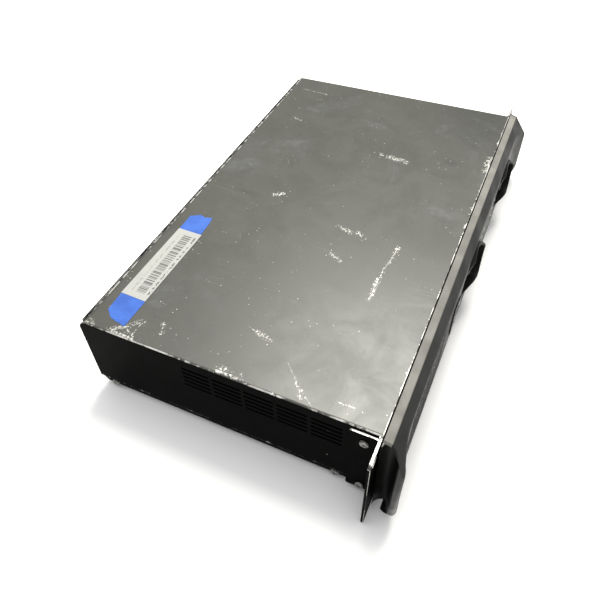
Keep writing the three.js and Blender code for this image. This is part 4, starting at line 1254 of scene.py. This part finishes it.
def make_trs(index, x):
    """Jack socket: a box behind the panel, and a threaded collar with a hexagon nut."""
    body = bar(f"jack_housing_{index}", x, TRS_Z, 7.5, 7.5, 226, 252.4)
    cut(body, rod(x, TRS_Z, 3.3, 232, 262))
    dress(soften(cleaned(body), 0.4), CONNECTOR, "control_plastic", f"trs_jack_{index}")
    profile = [(4.9, 252), (4.9, REAR_Y1 + 1.7), (4.6, REAR_Y1 + 2), (3.5, REAR_Y1 + 2), (3.3, REAR_Y1 + 1.8),
               (3.3, 252)]
    collar = shaded(turned("collar", profile, x, TRS_Z, 40), 35)
    flats = [(x + 7.55 * math.cos(a), TRS_Z + 7.55 * math.sin(a)) for a in HEX]
    nut = prism("nut", flats, "y", REAR_Y1 + 0.3, REAR_Y1 + 1.6)
    cut(nut, rod(x, TRS_Z, 4.8, *THROUGH, 40))
    soften(cleaned(nut), 0.3, 3)
    dress(merge(f"jack_nut_{index}", collar, nut), NICKEL, "zinc_sheet")


def make_outlet(index, x):
    """Twist-lock speaker socket: two keyways in its lip and a hollow core."""
    plate, shell = round_socket(x, 230, 236, 9.6)
    cut(shell, *[bar("key", x + k * 9, SOCKET_Z, 1.6, 2, 244, 262) for k in (-1, 1)])
    profile = [(2.4, 240), (2.4, 255.7), (2.7, 256), (5.2, 256), (5.6, 255.6), (5.6, 234), (0, 234), (0, 240)]
    core = shaded(turned("core", profile, x, SOCKET_Z), 35)
    outlet = merge(f"speaker_socket_{index}", shaded(shell, 35), core, plate)
    dress(outlet, SPEAKER_BLUE, "control_plastic", f"speaker_outlet_{index}")


def make_inlet():
    """Mains inlet: a flange with two screws, a well with two cut corners, and three blades."""
    x, z = INLET_X, MIDDLE_Z
    inlet = rounded_plate("inlet_housing", x, z, 25, 11.5, 5, FLANGE_Y0, FLANGE_Y1 + 0.6)
    join(inlet, bar("body", x, z, 14, 10.4, 232, FLANGE_Y0 + 1))
    mouth = [(-12, -8), (12, -8), (12, 3.6), (7.6, 8), (-7.6, 8), (-12, 3.6)]
    cut(inlet, prism("well", [(x + dx, z + dz) for dx, dz in mouth], "y", 236, 270))
    cut(inlet, *[rod(x + dx, z, 1.9, *THROUGH, 20) for dx in (-INLET_SCREW, INLET_SCREW)])
    dress(soften(cleaned(inlet), 0.4, 3), CONNECTOR, "control_plastic", "power_inlet")
    blades = [soften(bar("blade", x + dx, z + dz, 1, 2, 235, 251), 0.3)
              for dx, dz in ((-7, -2), (7, -2), (0, 3))]
    dress(merge("inlet_blades", *blades), NICKEL, "zinc_sheet")


def make_breaker():
    """Circuit breaker: a box behind the panel, a hexagon nut on its neck, and a red reset button."""
    x, z = BREAKER_X, MIDDLE_Z
    flats = [(x + 8.4 * math.cos(a + math.pi / 6), z + 8.4 * math.sin(a + math.pi / 6)) for a in HEX]
    breaker = prism("breaker_housing", flats, "y", REAR_Y1 + 0.3, REAR_Y1 + 1.9)
    join(breaker, rod(x, z, 5.9, 250, REAR_Y1 + 3, 40), bar("body", x, z, 8, 14, 226, 252.4))
    cut(breaker, rod(x, z, 4.1, 244, 262, 40))
    dress(soften(cleaned(breaker), 0.3, 3), CONNECTOR, "control_plastic", "breaker_body")
    profile = [(0, 248.5), (3.7, 248.5), (3.7, REAR_Y1 + 3.9), (3.4, REAR_Y1 + 4.4), (2.8, REAR_Y1 + 4.6),
               (0, REAR_Y1 + 4.35)]
    button = turned("reset_cap", profile, x, z, 40)
    dress(shaded(button, 35), RED_PLASTIC, "red_plastic", "breaker_button", body="reset_button")


def make_mode_switch():
    """Slide switch: a metal shell with three terminals, and a ribbed tip in its slot."""
    x, z = MODE_X, MIDDLE_Z
    shell = bar("mode_switch_shell", x, z, 9, 5, 240, 252.6)
    join(shell, merge("terminals", *[bar("terminal", x + dx, z, 0.6, 1, 235, 241) for dx in (-4, 0, 4)]))
    cut(shell, bar("slot", x, z, 4.6, 2.6, 246, 260))
    dress(soften(cleaned(shell), 0.2), ZINC, "zinc_sheet", "mode_switch_body")
    slider = block("mode_slider_tip", (x - 4.3, 246.4, z - 2.2), (x - 0.1, REAR_Y1 + 1.4, z + 2.2))
    cut(slider, *[block("rib", (x - 3.9 + i * 0.9, REAR_Y1 + 0.9, z - 3), (x - 3.5 + i * 0.9, 262, z + 3))
                  for i in range(1, 4)])
    soften(cleaned(slider), 0.12)
    dress(slider, GLOSS_PLASTIC, "control_plastic", "mode_switch_slider", body="mode_slider")


# ---------------------------------------------------------------- fasteners, feet, stickers

def cross_recess(axis, centre, start, end, size, turn):
    """Two crossed blades that cut a screw's drive, around the (u, v) of the screw's axis."""
    (cu, cv), half = centre, 0.42
    blades = []
    for angle in (turn, turn + math.pi / 2):
        c, s = math.cos(angle), math.sin(angle)
        outline = [(cu + c * a * size - s * b * half, cv + s * a * size + c * b * half)
                   for a, b in ((-1, -1), (1, -1), (1, 1), (-1, 1))]
        blades.append(prism("blade", outline, axis, start, end))
    join(*blades)
    return blades[0]


def pan_screw(name, axis, u, v, seat, outward, head, shank, turn, *replaces):
    """Pan-head screw: domed head from the seat outwards, shank inwards. The head is (radius, height)."""
    radius, height = head
    dome = [(1, 0), (1, 0.35), (0.93, 0.72), (0.72, 0.93), (0.4, 1), (0, 1)]
    profile = [(0, seat - outward * shank), (1.55, seat - outward * shank), (1.55, seat),
               *[(radius * r, seat + outward * height * h) for r, h in dome]]
    screw = lathe(name, profile, axis, point(axis, u, v, 0), 32)
    levels = sorted((seat + outward * height * 0.38, seat + outward * (height + 2)))
    cut(screw, cross_recess(axis, (u, v), *levels, radius * 0.56, turn))
    dress(shaded(cleaned(screw), 32), SCREW, "screw_steel", *replaces)


def make_screws():
    """Every visible screw, each with its drive turned its own way."""
    for label, side in (("left", -1), ("right", 1)):
        for kind, places, seat, shank, turn in (("ear", EAR_SCREWS, HALF + 2.2, 8, 0.4),
                                                ("tray", TRAY_SCREWS, HALF - 1.5, 6, 0.9)):
            for i, (y, z) in enumerate(places):
                pan_screw(f"{label}_{kind}_fixing_{i + 1}", "x", y, z, side * seat, side, (3.6, 1.6),
                          shank, turn + i, f"{label}_{kind}_screw_{i + 1}")
    for kind, places, seat, head, shank, turn, step in (
            ("socket", FLANGE_SCREWS, FLANGE_Y1, (2.9, 1.3), 5, 0, 0.7),
            ("inlet", INLET_SCREWS, FLANGE_Y1 + 0.6, (2.9, 1.3), 5, 0.5, 1),
            ("fan", FAN_SCREWS, REAR_Y1 + 1.8, (3.4, 1.7), 9, 0.2, 0.9)):
        for i, (x, z) in enumerate(places):
            pan_screw(f"{kind}_fixing_{i + 1}", "y", x, z, seat, 1, head, shank, turn + i * step)


def make_feet():
    """Four round rubber feet with a shallow hollow underneath."""
    profile = [(0, 1.2), (3.0, 1.2), (3.2, 0.2), (7.4, 0), (8.2, 0.3), (8.6, 0.9), (9.5, 3.3), (9.3, 3.7),
               (0, 3.7)]
    for i, (x, y) in enumerate([(x, y) for y in (30, 225) for x in (-180, 180)]):
        foot = lathe(f"foot_{i + 1}", profile, "z", (x, y, 0))
        dress(shaded(foot, 35), RUBBER, "rubber", f"rubber_foot_{i + 1}")


def torn_edge(a, b, ragged, count):
    """Points from a to b with a torn fibre edge."""
    points = []
    for i in range(count):
        t = i / count
        off = random.uniform(-1, 1) * ragged if i else 0
        points.append((a[0] + (b[0] - a[0]) * t + off, a[1] + (b[1] - a[1]) * t + off * 0.2))
    return points


# The tape's outline: x, y and how ragged the edge to the next point is.
TAPE = [(-206, 217, 0.0), (-178, 216.4, 0.0), (-88, 216.4, 0.0), (-72, 217, 0.5), (-63.3, 218.4, 0.5),
        (-65.6, 225, 0.5), (-64, 231, 0.5), (-68.6, 239.4, 0.0), (-88, 239.4, 0.0), (-178, 240.6, 0.0),
        (-196, 240, 0.5), (-203.2, 231.4, 0.5)]
LABEL = [(-177.4, 216.5), (-88.6, 215.2), (-88.1, 239.6), (-176.6, 241)]


def make_label():
    low, high = local_box("label_tape")
    outline = []
    for (x0, y0, ragged), (x1, y1, _next) in zip(TAPE, TAPE[1:] + TAPE[:1]):
        outline += torn_edge((x0, y0), (x1, y1), ragged, 7 if ragged else 2)
    outline = [(min(max(x, low[0]), high[0]), min(max(y, low[1]), high[1])) for x, y in outline]
    tape = prism("crepe_tape", outline, "z", low[2], high[2])
    dress(shaded(tape, 30), TAPE_BLUE, "tape", "label_tape")
    low, high = local_box("asset_label")
    paper = prism("bar_label", LABEL, "z", low[2], high[2])
    dress(shaded(paper, 30), LABEL_PAPER, "paper_label", "asset_label")


# ---------------------------------------------------------------- assembly

def inner_looks():
    """Finishes for the inner pieces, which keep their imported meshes."""
    looks = [
        (ZINC, ("front_subpanel", "transformer_clamp", "level_pot_1", "level_pot_2")),
        (BOARD, ("control_board", "amp_board", "input_board")),
        (WINDING, ("toroid_transformer",)),
        (NICKEL, ("transformer_bolt",)),
        (ALUMINIUM, ("heat_sink_1", "heat_sink_2")),
        (CONNECTOR, ("transistor_bank_1", "transistor_bank_2")),
        (SLEEVE, ("reservoir_capacitor_1", "reservoir_capacitor_2")),
    ]
    for material, names in looks:
        for name in names:
            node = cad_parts[name]
            for holder in node.material_slots:
                holder.link = "DATA"
                holder.material = material
            if not node.material_slots:
                node.data.materials.append(material)


make_camera()
LID_PAINT = worn_paint("lid_paint", "top_cover", 1.7, 0.65, dusty=1.0, marks=True)
SIDE_PAINT = worn_paint("side_paint", "top_cover", 0.8, 0.006)
TRAY_PAINT = worn_paint("tray_paint", "bottom_tray", 1.1, 0.01)
REAR_PAINT = worn_paint("rear_paint", "rear_panel", 0.4, 0.1, dusty=0.04)
EAR_PAINT = {side: worn_paint(f"{label}_ear_paint", f"{label}_rack_ear", 0.8, 0.006)
             for side, label in ((-1, "left"), (1, "right"))}
# The pale top strip of the moulding is dust and a painted sheen.
MOULDING = grained_plastic("moulding_plastic", (0.006, 0.006, 0.0057), roughness=0.42, specular=0.07,
                           dust=(0.24, 0.235, 0.215))
# Lighter plastic for the grip rims: a painted highlight.
RIM_PAINTED_HIGHLIGHT = grained_plastic("rim_painted_highlight", (0.022, 0.022, 0.021), roughness=0.3, specular=0.35)
KNOB_PLASTIC = grained_plastic("knob_plastic", grey(0.010), roughness=0.38, specular=0.14)
POINTER = grained_plastic("pointer_white", (0.6, 0.6, 0.58), roughness=0.4)
GLOSS_PLASTIC = grained_plastic("switch_plastic", grey(0.012), grain=1200, roughness=0.24)
CONNECTOR = grained_plastic("connector_plastic", (0.015, 0.015, 0.016), roughness=0.4)
SPEAKER_BLUE = grained_plastic("speaker_socket_plastic", (0.016, 0.022, 0.035), roughness=0.36)
FAN_PLASTIC = grained_plastic("fan_plastic", grey(0.012), roughness=0.45)
RED_PLASTIC = grained_plastic("reset_red", (0.45, 0.02, 0.015), roughness=0.3)
ZINC = worked_metal("zinc_plate", (0.62, 0.63, 0.65), 0.36, brush=(1, 1, 0.1))
GUARD_STEEL = worked_metal("guard_wire", (0.5, 0.51, 0.52), 0.3)
NICKEL = worked_metal("nickel", (0.72, 0.69, 0.63), 0.24)
ALUMINIUM = worked_metal("sink_aluminium", (0.76, 0.77, 0.79), 0.34, brush=(1, 0.05, 1))
SHAFT = worked_metal("shaft_steel", (0.55, 0.55, 0.56), 0.28, brush=(1, 0.1, 1))
HUB_FOIL = worked_metal("hub_foil", (0.75, 0.75, 0.76), 0.22, stain=(0.45, 0.45, 0.44))
SCREW = black_oxide("screw_black")
# Worn steel for the ear edges, also used as a painted highlight on their outer edges.
WORN_EDGE_AND_HIGHLIGHT = worn_edge_metal("worn_edge_and_highlight", 0.54, 0.62)
CHIPPED_EDGE = worn_edge_metal("chipped_edge", 0.45, 0.52)
FOAM = foam_material()
RUBBER = rubber_material()
TAPE_BLUE = tape_material()
LABEL_PAPER = label_material()
BOARD = board_material()
WINDING = winding_material()
SLEEVE = sleeve_material()
LENS = lens_material()

inner_looks()
make_cover()
make_tray()
make_rear_panel()
for hand, ear_node in ((-1, "left_rack_ear"), (1, "right_rack_ear")):
    make_ear(hand, ear_node)
make_bezel()
make_rocker()
make_light_pipes()
make_filter()
for number, place in enumerate(KNOBS, 1):
    make_knob(number, place)
    make_shaft(number, place)
make_fan()
make_guard()
for number, place in enumerate(XLR_X, 1):
    make_xlr(number, place)
    make_trs(number, place)
for number, place in enumerate(OUTLET_X, 1):
    make_outlet(number, place)
make_inlet()
make_breaker()
make_mode_switch()
make_screws()
make_feet()
make_label()
make_stage()
